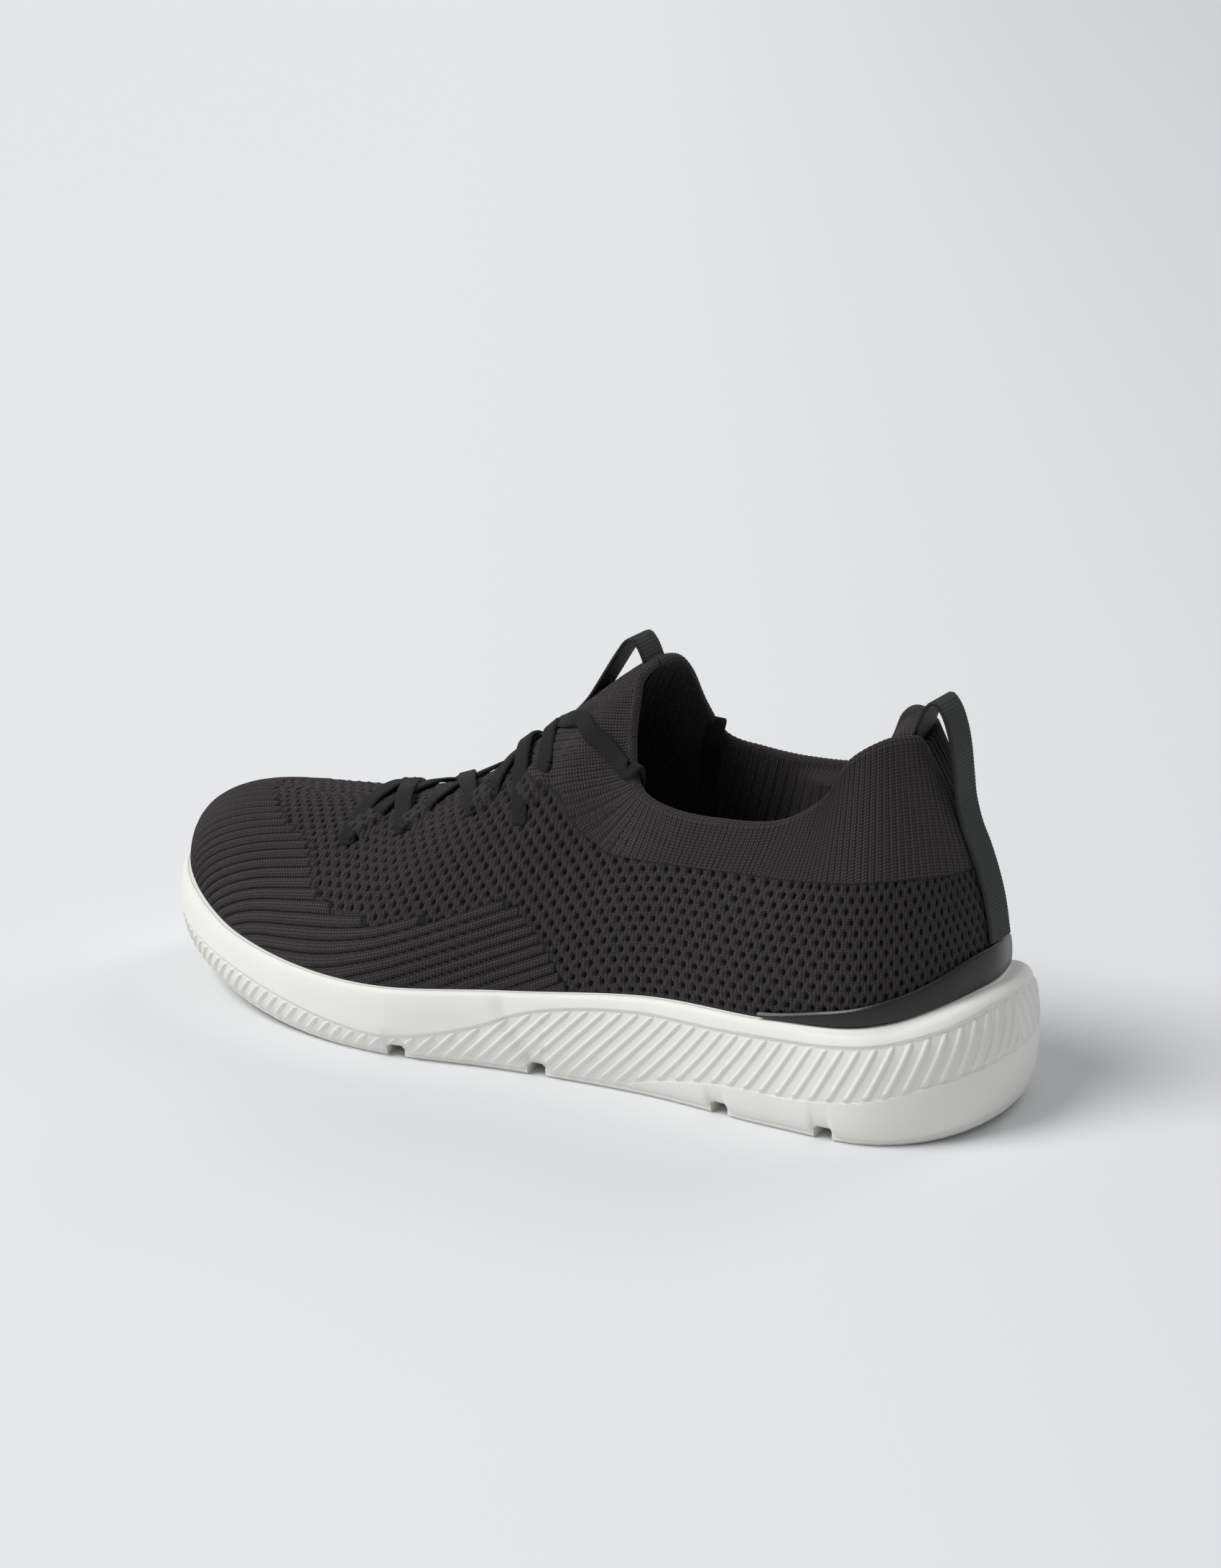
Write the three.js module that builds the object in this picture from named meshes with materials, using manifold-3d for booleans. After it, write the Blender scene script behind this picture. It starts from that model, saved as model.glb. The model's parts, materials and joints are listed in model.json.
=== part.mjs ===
// A knitted slip-in running shoe (left foot), built as its separate pieces.
//
// Working frame, millimetres: X runs from the back of the sole towards the toe, +Y is the
// outer (lateral) side, Z is up from the ground. The whole group is centred at the end, so
// that the origin is the centre of the footprint, on the ground.

import * as THREE from 'three';
import { ParametricGeometry } from 'three/addons/geometries/ParametricGeometry.js';
import { mergeGeometries, mergeVertices } from 'three/addons/utils/BufferGeometryUtils.js';
import Module from 'manifold-3d';

const wasm = await Module();
wasm.setup();

// ---------------------------------------------------------------- driving sizes

const SOLE_LENGTH = 298;       // back of the heel to the tip of the toe
const SOLE_WIDTH = 108.5;      // widest place, across the ball of the foot
const TOE_SPRING = 14;         // how far the tip of the sole is off the ground
const GAP = 0.3;               // clearance between pieces that touch
const COLUMNS = 96;            // steps round the shoe in every swept wall; must be even

const POD_THICKNESS = 3.2;     // rubber tread under the foam
const POD_INSET = 3;           // tread edge, inside the widest outline of the sole
const GROOVE_WIDTH = 6;        // open groove between two tread pods
const FEATHER_INSET = 3.6;     // foot of the upper, inside the widest outline, at the sides
const HEEL_INSET = 9.5;        // the same at the back of the heel, where the sole flares out
const LEDGE = 1.4;             // how far the top edge of the foam stands outside the upper

const KNIT_THICKNESS = 2.6;
const FOXING_THICKNESS = 1.2;  // leather-like band round the heel
const COUNTER_THICKNESS = 1.2; // stiffener inside the heel
const COUNTER_TOP = 0.5;       // share of the heel wall that it covers
const PADDING_THICKNESS = 3;   // foam inside the back of the collar
const PUFF_THICKNESS = 0.8;    // stiffener inside the toe box
const BOARD_THICKNESS = 1.2;   // lasting board the upper is sewn to
const INSOLE_FOAM = 4.5;
const INSOLE_COVER = 0.8;

const LACE_WIDTH = 5;
const LACE_THICKNESS = 1.3;
const AGLET_DIAMETER = 3.2;
const AGLET_LENGTH = 14;
const BRIDGE_THICKNESS = 0.9;  // knit over the lace where it passes through the upper
const WEBBING_THICKNESS = 1.2;
const HEEL_WEBBING_WIDTH = 13;
const TONGUE_WEBBING_WIDTH = 12;
const FLEX_SHARE = 0.6443;     // where the sole bends, on the centre line, in its length
const FLEX_SKEW = 9;           // degrees; the bend line runs further forward on the inner side
const FLEX_LIMIT = 30;         // degrees, toe up

// The places along and across the upper below are drawn on the pattern of one size, and
// stretched with the sole to the size above.
const PATTERN = { length: 298, width: 108.5 };
const ALONG = SOLE_LENGTH / PATTERN.length;
const ACROSS = SOLE_WIDTH / PATTERN.width;
const FLEX_X = FLEX_SHARE * SOLE_LENGTH;

// ---------------------------------------------------------------- small helpers

const clamp = THREE.MathUtils.clamp;
const lerp = THREE.MathUtils.lerp;
const radians = THREE.MathUtils.degToRad;

/** A smooth function through [at, value] pairs, flat outside them. */
function along(pairs) {
  const slope = pairs.map((p, i) => {
    const a = pairs[Math.max(i - 1, 0)];
    const b = pairs[Math.min(i + 1, pairs.length - 1)];
    return i === 0 || i === pairs.length - 1 ? 0 : (b[1] - a[1]) / (b[0] - a[0]);
  });
  return (at) => {
    if (at <= pairs[0][0]) return pairs[0][1];
    const last = pairs.length - 1;
    if (at >= pairs[last][0]) return pairs[last][1];
    let i = 0;
    while (at > pairs[i + 1][0]) i += 1;
    const span = pairs[i + 1][0] - pairs[i][0];
    const t = (at - pairs[i][0]) / span;
    const t2 = t * t;
    const t3 = t2 * t;
    return (2 * t3 - 3 * t2 + 1) * pairs[i][1] + (t3 - 2 * t2 + t) * span * slope[i]
      + (3 * t2 - 2 * t3) * pairs[i + 1][1] + (t3 - t2) * span * slope[i + 1];
  };
}

/** A grid of points as a geometry: f(u, v, target), both 0 to 1. */
function grid(f, columns, rows) {
  const geometry = new ParametricGeometry(f, columns, rows);
  geometry.deleteAttribute('uv');
  geometry.deleteAttribute('normal');
  return geometry;
}

/** Several open patches whose edges meet become one closed manifold solid. */
function solid(...patches) {
  const welded = mergeVertices(mergeGeometries(patches), 1e-3);
  const index = welded.index.array;
  const kept = [];
  for (let i = 0; i < index.length; i += 3) {
    const [a, b, c] = [index[i], index[i + 1], index[i + 2]];
    if (a !== b && b !== c && a !== c) kept.push(a, b, c);
  }
  const mesh = new wasm.Mesh({
    numProp: 3,
    vertProperties: new Float32Array(welded.attributes.position.array),
    triVerts: new Uint32Array(kept),
  });
  const made = new wasm.Manifold(mesh);
  return made.volume() < 0 ? flipped(made) : made;
}

/** The same solid with its faces the right way out. */
function flipped(manifold) {
  const { vertProperties, triVerts } = manifold.getMesh();
  const turned = triVerts.slice();
  for (let i = 0; i < turned.length; i += 3) {
    [turned[i], turned[i + 1]] = [turned[i + 1], turned[i]];
  }
  return new wasm.Manifold(new wasm.Mesh({ numProp: 3, vertProperties, triVerts: turned }));
}

/** A three.js geometry as a manifold solid. */
function fromGeometry(geometry) {
  const bare = geometry.index ? geometry.clone() : geometry;
  bare.deleteAttribute('uv');
  bare.deleteAttribute('normal');
  return solid(bare);
}

/** A box given by its lowest and highest corners. */
function block(low, high) {
  const size = high.map((h, i) => h - low[i]);
  const geometry = new THREE.BoxGeometry(...size);
  geometry.translate(...low.map((l, i) => l + size[i] / 2));
  return fromGeometry(geometry);
}

function toGeometry(manifold) {
  const { vertProperties, triVerts, numProp } = manifold.getMesh();
  const position = new Float32Array(vertProperties.length / numProp * 3);
  for (let i = 0; i < position.length / 3; i += 1) {
    for (let k = 0; k < 3; k += 1) position[i * 3 + k] = vertProperties[i * numProp + k];
  }
  const geometry = new THREE.BufferGeometry();
  geometry.setAttribute('position', new THREE.BufferAttribute(position, 3));
  geometry.setIndex(new THREE.BufferAttribute(new Uint32Array(triVerts), 1));
  return geometry;
}

// ---------------------------------------------------------------- the outline of the sole

// The plan of the sole, as shares of its length and of its width, from the back of the heel
// round the outer side to the toe and back along the inner side.
const PLAN = [
  [0, 0.037], [0.022, 0.27], [0.092, 0.432], [0.201, 0.447], [0.352, 0.415], [0.503, 0.447],
  [0.638, 0.512], [0.755, 0.48], [0.866, 0.365], [0.953, 0.185], [0.997, -0.02],
  [0.993, -0.166], [0.953, -0.313], [0.879, -0.429], [0.779, -0.484], [0.671, -0.478],
  [0.554, -0.4], [0.403, -0.36], [0.252, -0.405], [0.1, -0.37], [0.022, -0.22],
];
const TOE_POINT = 10;          // the tip of the toe in that list
const plan = new THREE.CatmullRomCurve3(
  PLAN.map(([x, y]) => new THREE.Vector3(x * SOLE_LENGTH, y * SOLE_WIDTH, 0)), true,
);
plan.arcLengthDivisions = PLAN.length * 80;
const TOE_SHARE = plan.getLengths()[TOE_POINT * 80] / plan.getLength();

/** A point of the plan. w runs 0 to 0.5 on the outer side, 0.5 to 1 back on the inner side. */
function planAt(w, inset) {
  const turn = ((w % 1) + 1) % 1;
  const share = turn < 0.5 ? turn * 2 * TOE_SHARE : lerp(TOE_SHARE, 1, turn * 2 - 1);
  const point = plan.getPointAt(share);
  const tangent = plan.getTangentAt(share);
  point.x += inset * tangent.y;
  point.y -= inset * tangent.x;
  return point;
}

const featherShape = along([[0, 43.5], [0.085, 36], [0.2, 33.5], [0.335, 32], [0.5, 26],
  [0.67, 22], [0.84, 25], [1, 33.5]]);
/** Height of the line where the upper meets the sole. */
const featherZ = (x) => featherShape(x / SOLE_LENGTH);

/** Height of the ground side of the sole: flat, with a small heel bevel and the toe spring. */
function groundZ(x) {
  const toe = clamp((x / SOLE_LENGTH - 0.655) / 0.345, 0, 1.05);
  const heel = clamp(1 - x / (0.085 * SOLE_LENGTH), 0, 1);
  return TOE_SPRING * toe * toe + 3 * heel * heel;
}

/**
 * A closed solid swept round the shoe: level(w, i) is a point of the i-th ring, and the first
 * and last rings are closed across, from each point to the one straight opposite.
 */
function swept(level, rings, columns = COLUMNS) {
  const rows = rings + 1;
  return solid(grid((u, v, target) => {
    const row = Math.round(v * rows);
    const ring = clamp(row - 1, 0, rings - 1);
    target.copy(level(u, ring));
    if (row === 0 || row === rows) target.lerp(level(1 - u, ring), 0.5);
  }, columns, rows));
}

// ---------------------------------------------------------------- cutting planes at the bend

const bendPoint = new THREE.Vector3(FLEX_X, 0, featherZ(FLEX_X) + 0.5);

/**
 * Everything ahead of (side 1) or behind (side -1) an upright plane across the shoe at x,
 * skewed like the bend line. With a lean, the plane tips away from the upright by that angle
 * above height z.
 */
function halfSpace(side, x, { gap = 0, lean = 0, z = 0, skew = FLEX_SKEW } = {}) {
  const reach = 400;
  const box = new THREE.BoxGeometry(reach, reach * 2, reach * 2);
  box.translate(side * (reach / 2 + gap), 0, 0);
  box.rotateY(radians(lean) * side);
  box.rotateZ(radians(skew));
  box.translate(x, 0, z);
  return fromGeometry(box);
}

// ---------------------------------------------------------------- the rubber tread pods

const tread = swept((w, i) => {
  const p = planAt(w, POD_INSET + [1.2, 0.2, 0][i]);
  p.z = groundZ(p.x) + [0, 0.3, 1][i] * POD_THICKNESS;
  return p;
}, 3);

// The open grooves between the pods: where each crosses the centre line, and its skew.
const GROOVES = [[0.141, 0], [0.258, 0], [0.482, 6], [FLEX_X / SOLE_LENGTH, FLEX_SKEW]];
const POD_NAMES = ['heel_back', 'heel_front', 'midfoot', 'ball', 'toe'];

function pod(i) {
  let piece = tread;
  const cut = ([share, skew], side) => {
    piece = piece.intersect(halfSpace(side, share * SOLE_LENGTH, { gap: GROOVE_WIDTH / 2, skew }));
  };
  if (i > 0) cut(GROOVES[i - 1], 1);
  if (i < GROOVES.length) cut(GROOVES[i], -1);
  return piece;
}

// ---------------------------------------------------------------- the surface of the upper

const TONGUE_U = 26 / 48;      // where the front of the mouth is, from heel (0) to toe (1)
const POLE_U = 42 / 48;        // ahead of here all sections meet in one point of the toe box

// The rim of the mouth, [u, x, y, z], on the outer side and on the inner side, which mirrors
// it but for the collar's back lobe, which leans further in.
const RIM_BACK = [0, 33, 0, 106.5];
const RIM_FRONT = [TONGUE_U, 123, 0, 121.5];
const OUTER_RIM = [
  [0.07, 31.5, 9, 110.5], [0.14, 37, 20, 114], [0.2, 46, 26, 108], [0.255, 53, 29.5, 95],
  [0.3, 66, 31.5, 87], [0.36, 86, 32, 84.5], [0.41, 103, 31, 85], [0.445, 114, 28, 89],
  [0.475, 119, 23, 101], [0.5, 121, 17, 113], [0.522, 122.5, 11, 119.5],
];
const INNER_RIM = [
  [0.07, 33.5, -8, 110.5], [0.14, 42, -15, 113.5], [0.2, 50, -21, 109.5], [0.255, 57, -26, 98.5],
  [0.3, 67, -29.5, 89.5], [0.36, 86, -30.5, 87], [0.41, 103, -30, 88], [0.445, 114, -28, 91],
  [0.475, 119, -24, 101], [0.5, 121, -18, 113], [0.522, 122.5, -11, 119.5],
];
// The ridge of the instep, from the top of the tongue to the toe box, [u, x, z].
const RIDGE = [
  [0.522, 115, 126], [TONGUE_U, 123, 121.5], [0.58, 139, 108.5], [0.62, 156, 94], [0.66, 172, 81],
  [0.7, 188, 72], [0.76, 209, 65.5], [0.82, 228, 62.5], [POLE_U, 243, 60.5], [0.93, 256, 58.5],
];

/** The rim's x, y or z as a function of u, through its back and front points to both sides. */
function rimCurve(side, other, k) {
  const mirror = (row, at) => [at, ...row.slice(1)];
  const rows = [mirror(other[0], -other[0][0]), RIM_BACK, ...side, RIM_FRONT,
    mirror(other.at(-1), 2 * TONGUE_U - other.at(-1)[0])];
  const stretch = [1, ALONG, ACROSS, 1][k];
  return along(rows.map((row) => [row[0], row[k] * stretch]));
}
const outerRim = [1, 2, 3].map((k) => rimCurve(OUTER_RIM, INNER_RIM, k));
const innerRim = [1, 2, 3].map((k) => rimCurve(INNER_RIM, OUTER_RIM, k));
const ridge = [along(RIDGE.map(([u, x]) => [u, x * ALONG])), along(RIDGE.map(([u, , z]) => [u, z]))];

// How a section leaves its two ends, as shares of its reach and of its height.
const crownReach = along([[0, 0.42], [0.1, 0.36], [0.36, 0.45], [0.5, 0.28], [0.54, 0.24],
  [0.61, 0.26], [0.76, 0.4], [0.87, 0.55], [1, 0.6]]);
const crownDrop = along([[0, 0.22], [0.14, 0.3], [0.36, 0.4], [0.47, 0.35], [0.52, 0.12],
  [TONGUE_U, 0.02], [0.61, 0], [0.87, -0.02], [1, -0.03]]);
const footBulge = along([[0, 0.05], [0.06, 0], [0.14, 0], [0.36, 0.2], [0.5, 0.08],
  [0.61, 0.02], [1, 0.01]]);
const footRise = along([[0, 0.44], [0.36, 0.35], [0.54, 0.4], [0.61, 0.42], [0.76, 0.52],
  [1, 0.7]]);
const footInset = along([[0, HEEL_INSET], [0.05, HEEL_INSET + 1], [0.12, HEEL_INSET],
  [0.2, FEATHER_INSET + 1.8], [0.32, FEATHER_INSET], [1, FEATHER_INSET]]);

/** u from heel (0) to toe (1), and the side: 1 outer, -1 inner. */
function station(w) {
  const turn = ((w % 1) + 1) % 1;
  return turn <= 0.5 ? [turn * 2, 1] : [2 - turn * 2, -1];
}

function crownAt(w) {
  const [u, side] = station(w);
  if (u < TONGUE_U) {
    const rim = side > 0 ? outerRim : innerRim;
    return new THREE.Vector3(rim[0](u), rim[1](u), rim[2](u));
  }
  const at = Math.min(u, POLE_U);
  return new THREE.Vector3(ridge[0](at), 0, ridge[1](at));
}

function footAt(w) {
  const foot = planAt(w, footInset(station(w)[0]));
  foot.z = featherZ(foot.x);
  return foot;
}

/** A point of the upper's outer face: v runs from its foot (0) to the mouth or ridge (1). */
function faceAt(w, v) {
  const [u] = station(w);
  const foot = footAt(w);
  const crown = crownAt(w);
  const reach = new THREE.Vector3(foot.x - crown.x, foot.y - crown.y, 0);
  const height = crown.z - foot.z;
  const low = foot.clone().addScaledVector(reach, footBulge(u));
  low.z += height * footRise(u);
  const high = crown.clone().addScaledVector(reach, crownReach(u));
  high.z -= height * crownDrop(u);
  return new THREE.CubicBezierCurve3(foot, low, high, crown).getPoint(v);
}

function normalAt(w, v) {
  const [u] = station(w);
  if (v > 0.97 && u > POLE_U - 0.001) return new THREE.Vector3(0, 0, 1);
  const high = clamp(v, 0.02, 0.98);
  const across = faceAt(w + 0.004, high).sub(faceAt(w - 0.004, high));
  const up = faceAt(w, high + 0.02).sub(faceAt(w, high - 0.02));
  const normal = up.cross(across);
  if (v === 1 && u >= TONGUE_U - 0.001) normal.y = 0;
  return normal.normalize();
}

/** A point that deep under the upper's outer face; outside it if depth is negative. */
const skinAt = (w, v, depth) => faceAt(w, v).addScaledVector(normalAt(w, v), -depth);

// ---------------------------------------------------------------- the foam midsole

// [share of the inset at the tread, share of the inset at the top edge, share of the wall's
// height], from the tread to the top edge.
const SIDE_PROFILE = [[1, 0, 0], [0.55, 0, 0.06], [0.2, 0, 0.2], [0, 0, 0.45], [0, 0.1, 0.75],
  [0, 0.42, 0.93], [0, 1, 1]];

const midsole = swept((w, i) => {
  const [low, high, share] = SIDE_PROFILE[i];
  const p = planAt(w, low * POD_INSET + high * (footInset(station(w)[0]) - LEDGE));
  p.z = lerp(groundZ(p.x) + POD_THICKNESS + GAP, featherZ(p.x) - GAP, share);
  return p;
}, SIDE_PROFILE.length);

// ---------------------------------------------------------------- sheets and ribbons

/** A closed sheet: f(s, t, k) is a point of it, with k = 0 on one face and 1 on the other. */
function sheet(f, columns, rows) {
  return solid(
    grid((s, t, to) => to.copy(f(s, t, 0)), columns, rows),
    grid((t, s, to) => to.copy(f(s, t, 1)), rows, columns),
    grid((s, k, to) => to.copy(f(s, 0, 1 - k)), columns, 1),
    grid((s, k, to) => to.copy(f(s, 1, k)), columns, 1),
    grid((k, t, to) => to.copy(f(0, t, 1 - k)), 1, rows),
    grid((k, t, to) => to.copy(f(1, t, k)), 1, rows),
  );
}

/** Part of the upper's wall as a sheet, from u = reach on one side round to the other. */
function wallSheet({ from, to, low, high, depth, thickness, columns, rows }) {
  return sheet((s, t, k) => {
    const w = lerp(from, to, s);
    const [u] = station(w);
    return skinAt(w, lerp(low(u), high(u), t), depth + k * thickness);
  }, columns, rows);
}

/**
 * A flat tape along a path. Each stop of the path has the middle of the tape (at) and the
 * way its face looks (face); the tape is bevelled along its edges.
 */
function ribbon(stops, width, thickness) {
  const bevel = Math.min(thickness / 2, width / 6);
  const section = [[0.5, 0], [0.5, 0.5], [-0.5, 0.5], [-0.5, 0], [-0.5, -0.5], [0.5, -0.5]]
    .map(([a, b]) => [a * width - Math.sign(a) * (b ? bevel : 0), b * thickness]);
  const last = stops.length - 1;
  const sides = stops.map(({ face }, i) => {
    const ahead = stops[Math.min(i + 1, last)].at.clone().sub(stops[Math.max(i - 1, 0)].at);
    const side = ahead.cross(face).normalize();
    return { side, face: face.clone().normalize() };
  });
  return solid(grid((u, v, target) => {
    const row = Math.round(v * (last + 2));
    const i = clamp(row - 1, 0, last);
    target.copy(stops[i].at);
    if (row === 0 || row === last + 2) return;
    const [a, b] = section[Math.round(u * section.length) % section.length];
    target.addScaledVector(sides[i].side, a).addScaledVector(sides[i].face, b);
  }, section.length, last + 2));
}

// ---------------------------------------------------------------- the knitted upper

const WALL_ROWS = 7;

const upperOuter = swept((w, i) => skinAt(w, i / (WALL_ROWS - 1), 0), WALL_ROWS);

// The hollow inside: it starts below the foot of the upper and goes up out of the mouth.
const upperInner = swept((w, i) => {
  const v = clamp((i - 1) / (WALL_ROWS - 1), 0, 1);
  const p = skinAt(w, v, KNIT_THICKNESS);
  if (i === 0) p.z -= 4;
  if (i > WALL_ROWS && station(w)[0] < TONGUE_U - 0.001) p.z = 200;
  return p;
}, WALL_ROWS + 2);

const surface = new THREE.Mesh(toGeometry(upperOuter));
surface.updateMatrixWorld();
const probe = new THREE.Raycaster();

/** The point of the upper's top face at x, y, raised along its normal, and that normal. */
function onTop(x, y, lift) {
  const spots = [[0, 0], [2.5, 0], [-2.5, 0], [0, 2.5], [0, -2.5]].map(([dx, dy]) => {
    probe.set(new THREE.Vector3(x + dx, y + dy, 300), new THREE.Vector3(0, 0, -1));
    return probe.intersectObject(surface)[0].point;
  });
  const [middle, ahead, behind, left, right] = spots;
  const face = ahead.clone().sub(behind).cross(left.clone().sub(right)).normalize();
  return { at: middle.addScaledVector(face, lift), face };
}

// ---------------------------------------------------------------- the lace

// The four tunnels of each side, [x, y] of the end nearer the toe, then of the other end.
const stretched = (tunnels) => tunnels.map((ends) => ends.map(([x, y]) => [x * ALONG, y * ACROSS]));
const OUTER_TUNNELS = stretched([[[216, 26], [211, 16]], [[197, 25], [192, 18]],
  [[170, 28], [163.5, 25]], [[151, 32], [146, 26]]]);
const INNER_TUNNELS = stretched([[[222, -20], [217, -11]], [[205, -24], [200, -17]],
  [[180, -27], [174, -23]], [[161, -30], [156, -25]]]);
const KNOT = [155.5 * ALONG, 0]; // where the two top strands cross on the instep
const LOW_LIFT = LACE_THICKNESS / 2 + GAP;
const HIGH_LIFT = LOW_LIFT + LACE_THICKNESS + GAP;
const TUCK_U = 0.462;          // where the two ends go over the front of the mouth

/** A strand of the lace, or with room round it the way that it needs, through hand-set spots. */
function tape(spots, { room = 0, width = LACE_WIDTH, thickness = LACE_THICKNESS, step = 6.4 } = {}) {
  const [middles, faces] = ['at', 'face'].map((key) => (
    new THREE.CatmullRomCurve3(spots.map((spot) => spot[key]), false, 'centripetal')
  ));
  const count = Math.max(2, Math.round(middles.getLength() / step));
  const stops = Array.from({ length: count + 1 }, (_, i) => (
    { at: middles.getPoint(i / count), face: faces.getPoint(i / count).normalize() }
  ));
  return ribbon(stops, width + 2 * room, thickness + 2 * room);
}

/** Spots from one [x, y] straight to another, raised by lift in the middle. */
function across([x0, y0], [x1, y1], lift) {
  return [0, 0.17, 0.34, 0.5, 0.66, 0.83, 1].map((t) => (
    onTop(lerp(x0, x1, t), lerp(y0, y1, t), lerp(LOW_LIFT, lift, Math.sin(Math.PI * t)))
  ));
}

/** Spots a little past each end of a tunnel, so that the lace runs on from it. */
function through([[ax, ay], [bx, by]]) {
  return [-0.12, 0, 1, 1.12].map((t) => onTop(lerp(ax, bx, t), lerp(ay, by, t), LOW_LIFT));
}

/** A spot on the upper's face at w, v, with the middle of the lace at that depth under it. */
const onSkin = (w, v, depth) => ({ at: skinAt(w, v, depth), face: normalAt(w, v) });

/** From the knot over the front of the mouth on one side, then down inside the wall. */
function topStrand(side) {
  const toW = (u) => (side > 0 ? u / 2 : 1 - u / 2);
  const start = (side > 0 ? INNER_TUNNELS : OUTER_TUNNELS).at(-1)[1];
  const knot = onTop(...KNOT, side > 0 ? HIGH_LIFT : LOW_LIFT);
  const between = onTop(lerp(start[0], KNOT[0], 0.5), lerp(start[1], KNOT[1], 0.5), LOW_LIFT + 0.3);
  const outside = [[0.6, 0.83], [0.575, 0.77], [0.55, 0.72], [0.53, 0.73], [0.505, 0.79],
    [0.482, 0.87], [TUCK_U + 0.003, 0.965]].map(([u, v]) => onSkin(toW(u), v, -LOW_LIFT));
  const inDepth = KNIT_THICKNESS + LOW_LIFT;
  const out = normalAt(toW(TUCK_U), 0.95);
  const up = skinAt(toW(TUCK_U), 1, 0).sub(skinAt(toW(TUCK_U), 0.94, 0)).normalize();
  const over = skinAt(toW(TUCK_U), 1, KNIT_THICKNESS / 2).addScaledVector(up, LOW_LIFT + 0.6);
  const inside = [[-0.004, 0.955, 0.3], [-0.008, 0.86, 0.2], [-0.014, 0.74, 0.7],
    [-0.02, 0.6, 3]].map(([du, v, more]) => (
    { at: skinAt(toW(TUCK_U + du), v, inDepth + more), face: out.clone().negate() }
  ));
  return [onTop(...start, LOW_LIFT), between, knot, ...outside, { at: over, face: up }, ...inside];
}

/** Every strand of the lace as a list of spots; each overlaps the next, so they join up. */
function laceStrands() {
  const strands = [...OUTER_TUNNELS, ...INNER_TUNNELS].map(through);
  strands.push(across(OUTER_TUNNELS[0][0], INNER_TUNNELS[0][0], LOW_LIFT + 0.4));
  for (let i = 0; i < OUTER_TUNNELS.length - 1; i += 1) {
    strands.push(across(OUTER_TUNNELS[i][1], INNER_TUNNELS[i + 1][0], LOW_LIFT));
    strands.push(across(INNER_TUNNELS[i][1], OUTER_TUNNELS[i + 1][0], HIGH_LIFT));
  }
  return [...strands, topStrand(1), topStrand(-1)];
}

const strands = laceStrands();
const joined = (solids) => solids.reduce((all, one) => all.add(one));
const lace = joined(strands.map((spots) => tape(spots)));
// The lace's way through the knit, with more room where it turns sharply over the rim.
const overRim = strands.slice(-2).map((spots) => spots.slice(7, 13));
const laceWay = joined([...strands.map((spots) => tape(spots, { room: GAP })),
  ...overRim.map((spots) => tape(spots, { room: 3 * GAP, step: 2 }))]);

/** The knit that passes over the lace in a tunnel, before the lace's way is cut out of it. */
function bridge([[x0, y0], [x1, y1]]) {
  const [x, y] = [(x0 + x1) / 2, (y0 + y1) / 2];
  const length = Math.hypot(x1 - x0, y1 - y0);
  const [nx, ny] = [(y1 - y0) / length, (x0 - x1) / length];
  const top = LOW_LIFT + LACE_THICKNESS / 2 + GAP + BRIDGE_THICKNESS / 2;
  const half = LACE_WIDTH / 2 + GAP;
  const stops = [[-half - 3.4, -0.5], [-half - 1.4, 0.3], [-half - 0.2, top - 0.3], [0, top],
    [half + 0.2, top - 0.3], [half + 1.4, 0.3], [half + 3.4, -0.5]];
  return tape(stops.map(([d, lift]) => onTop(x + nx * d, y + ny * d, lift)),
    { width: length * 0.55, thickness: BRIDGE_THICKNESS, step: 1.8 });
}
const bridges = joined([...OUTER_TUNNELS, ...INNER_TUNNELS].map(bridge));

const upper = upperOuter.subtract(upperInner).add(bridges).subtract(laceWay);
/** The largest body of a cut solid, without the shavings that the lace's way can leave. */
const largest = (cut) => cut.decompose().reduce((a, b) => (a.volume() > b.volume() ? a : b));
const flexPlane = { z: bendPoint.z, lean: FLEX_LIMIT / 2 };
const BEND_GAP = 1;            // half the length of upper that belongs to the bend at its foot
const upperRear = largest(upper.intersect(halfSpace(-1, FLEX_X, { ...flexPlane, gap: BEND_GAP })));
const upperToe = largest(upper.intersect(halfSpace(1, FLEX_X, { ...flexPlane, gap: BEND_GAP })));
const upperBend = largest(upper
  .subtract(halfSpace(-1, FLEX_X, { ...flexPlane, gap: BEND_GAP - GAP }))
  .subtract(halfSpace(1, FLEX_X, { ...flexPlane, gap: BEND_GAP - GAP })));

/** The hard tip of a lace end, lying on inside the wall. */
function aglet(side) {
  const [before, last] = topStrand(side).slice(-2).map(({ at }) => at);
  const heading = last.clone().sub(before).normalize();
  const radius = AGLET_DIAMETER / 2;
  const geometry = new THREE.CylinderGeometry(radius, radius, AGLET_LENGTH, 12);
  geometry.applyQuaternion(new THREE.Quaternion().setFromUnitVectors(
    new THREE.Vector3(0, 1, 0), heading,
  ));
  const middle = last.clone().addScaledVector(heading, GAP + AGLET_LENGTH / 2);
  geometry.translate(middle.x, middle.y, middle.z);
  return fromGeometry(geometry);
}

// ---------------------------------------------------------------- pieces on and in the upper

const FOXING_REACH = 0.262;    // u where the band's two points end
const foxingTop = along([[0, 0.125], [0.1, 0.085], [0.2, 0.05], [FOXING_REACH, 0.02]]);
const foxing = wallSheet({
  from: -FOXING_REACH / 2, to: FOXING_REACH / 2, low: () => 0.008, high: foxingTop,
  depth: -GAP - FOXING_THICKNESS, thickness: FOXING_THICKNESS, columns: 30, rows: 2,
});

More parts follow.
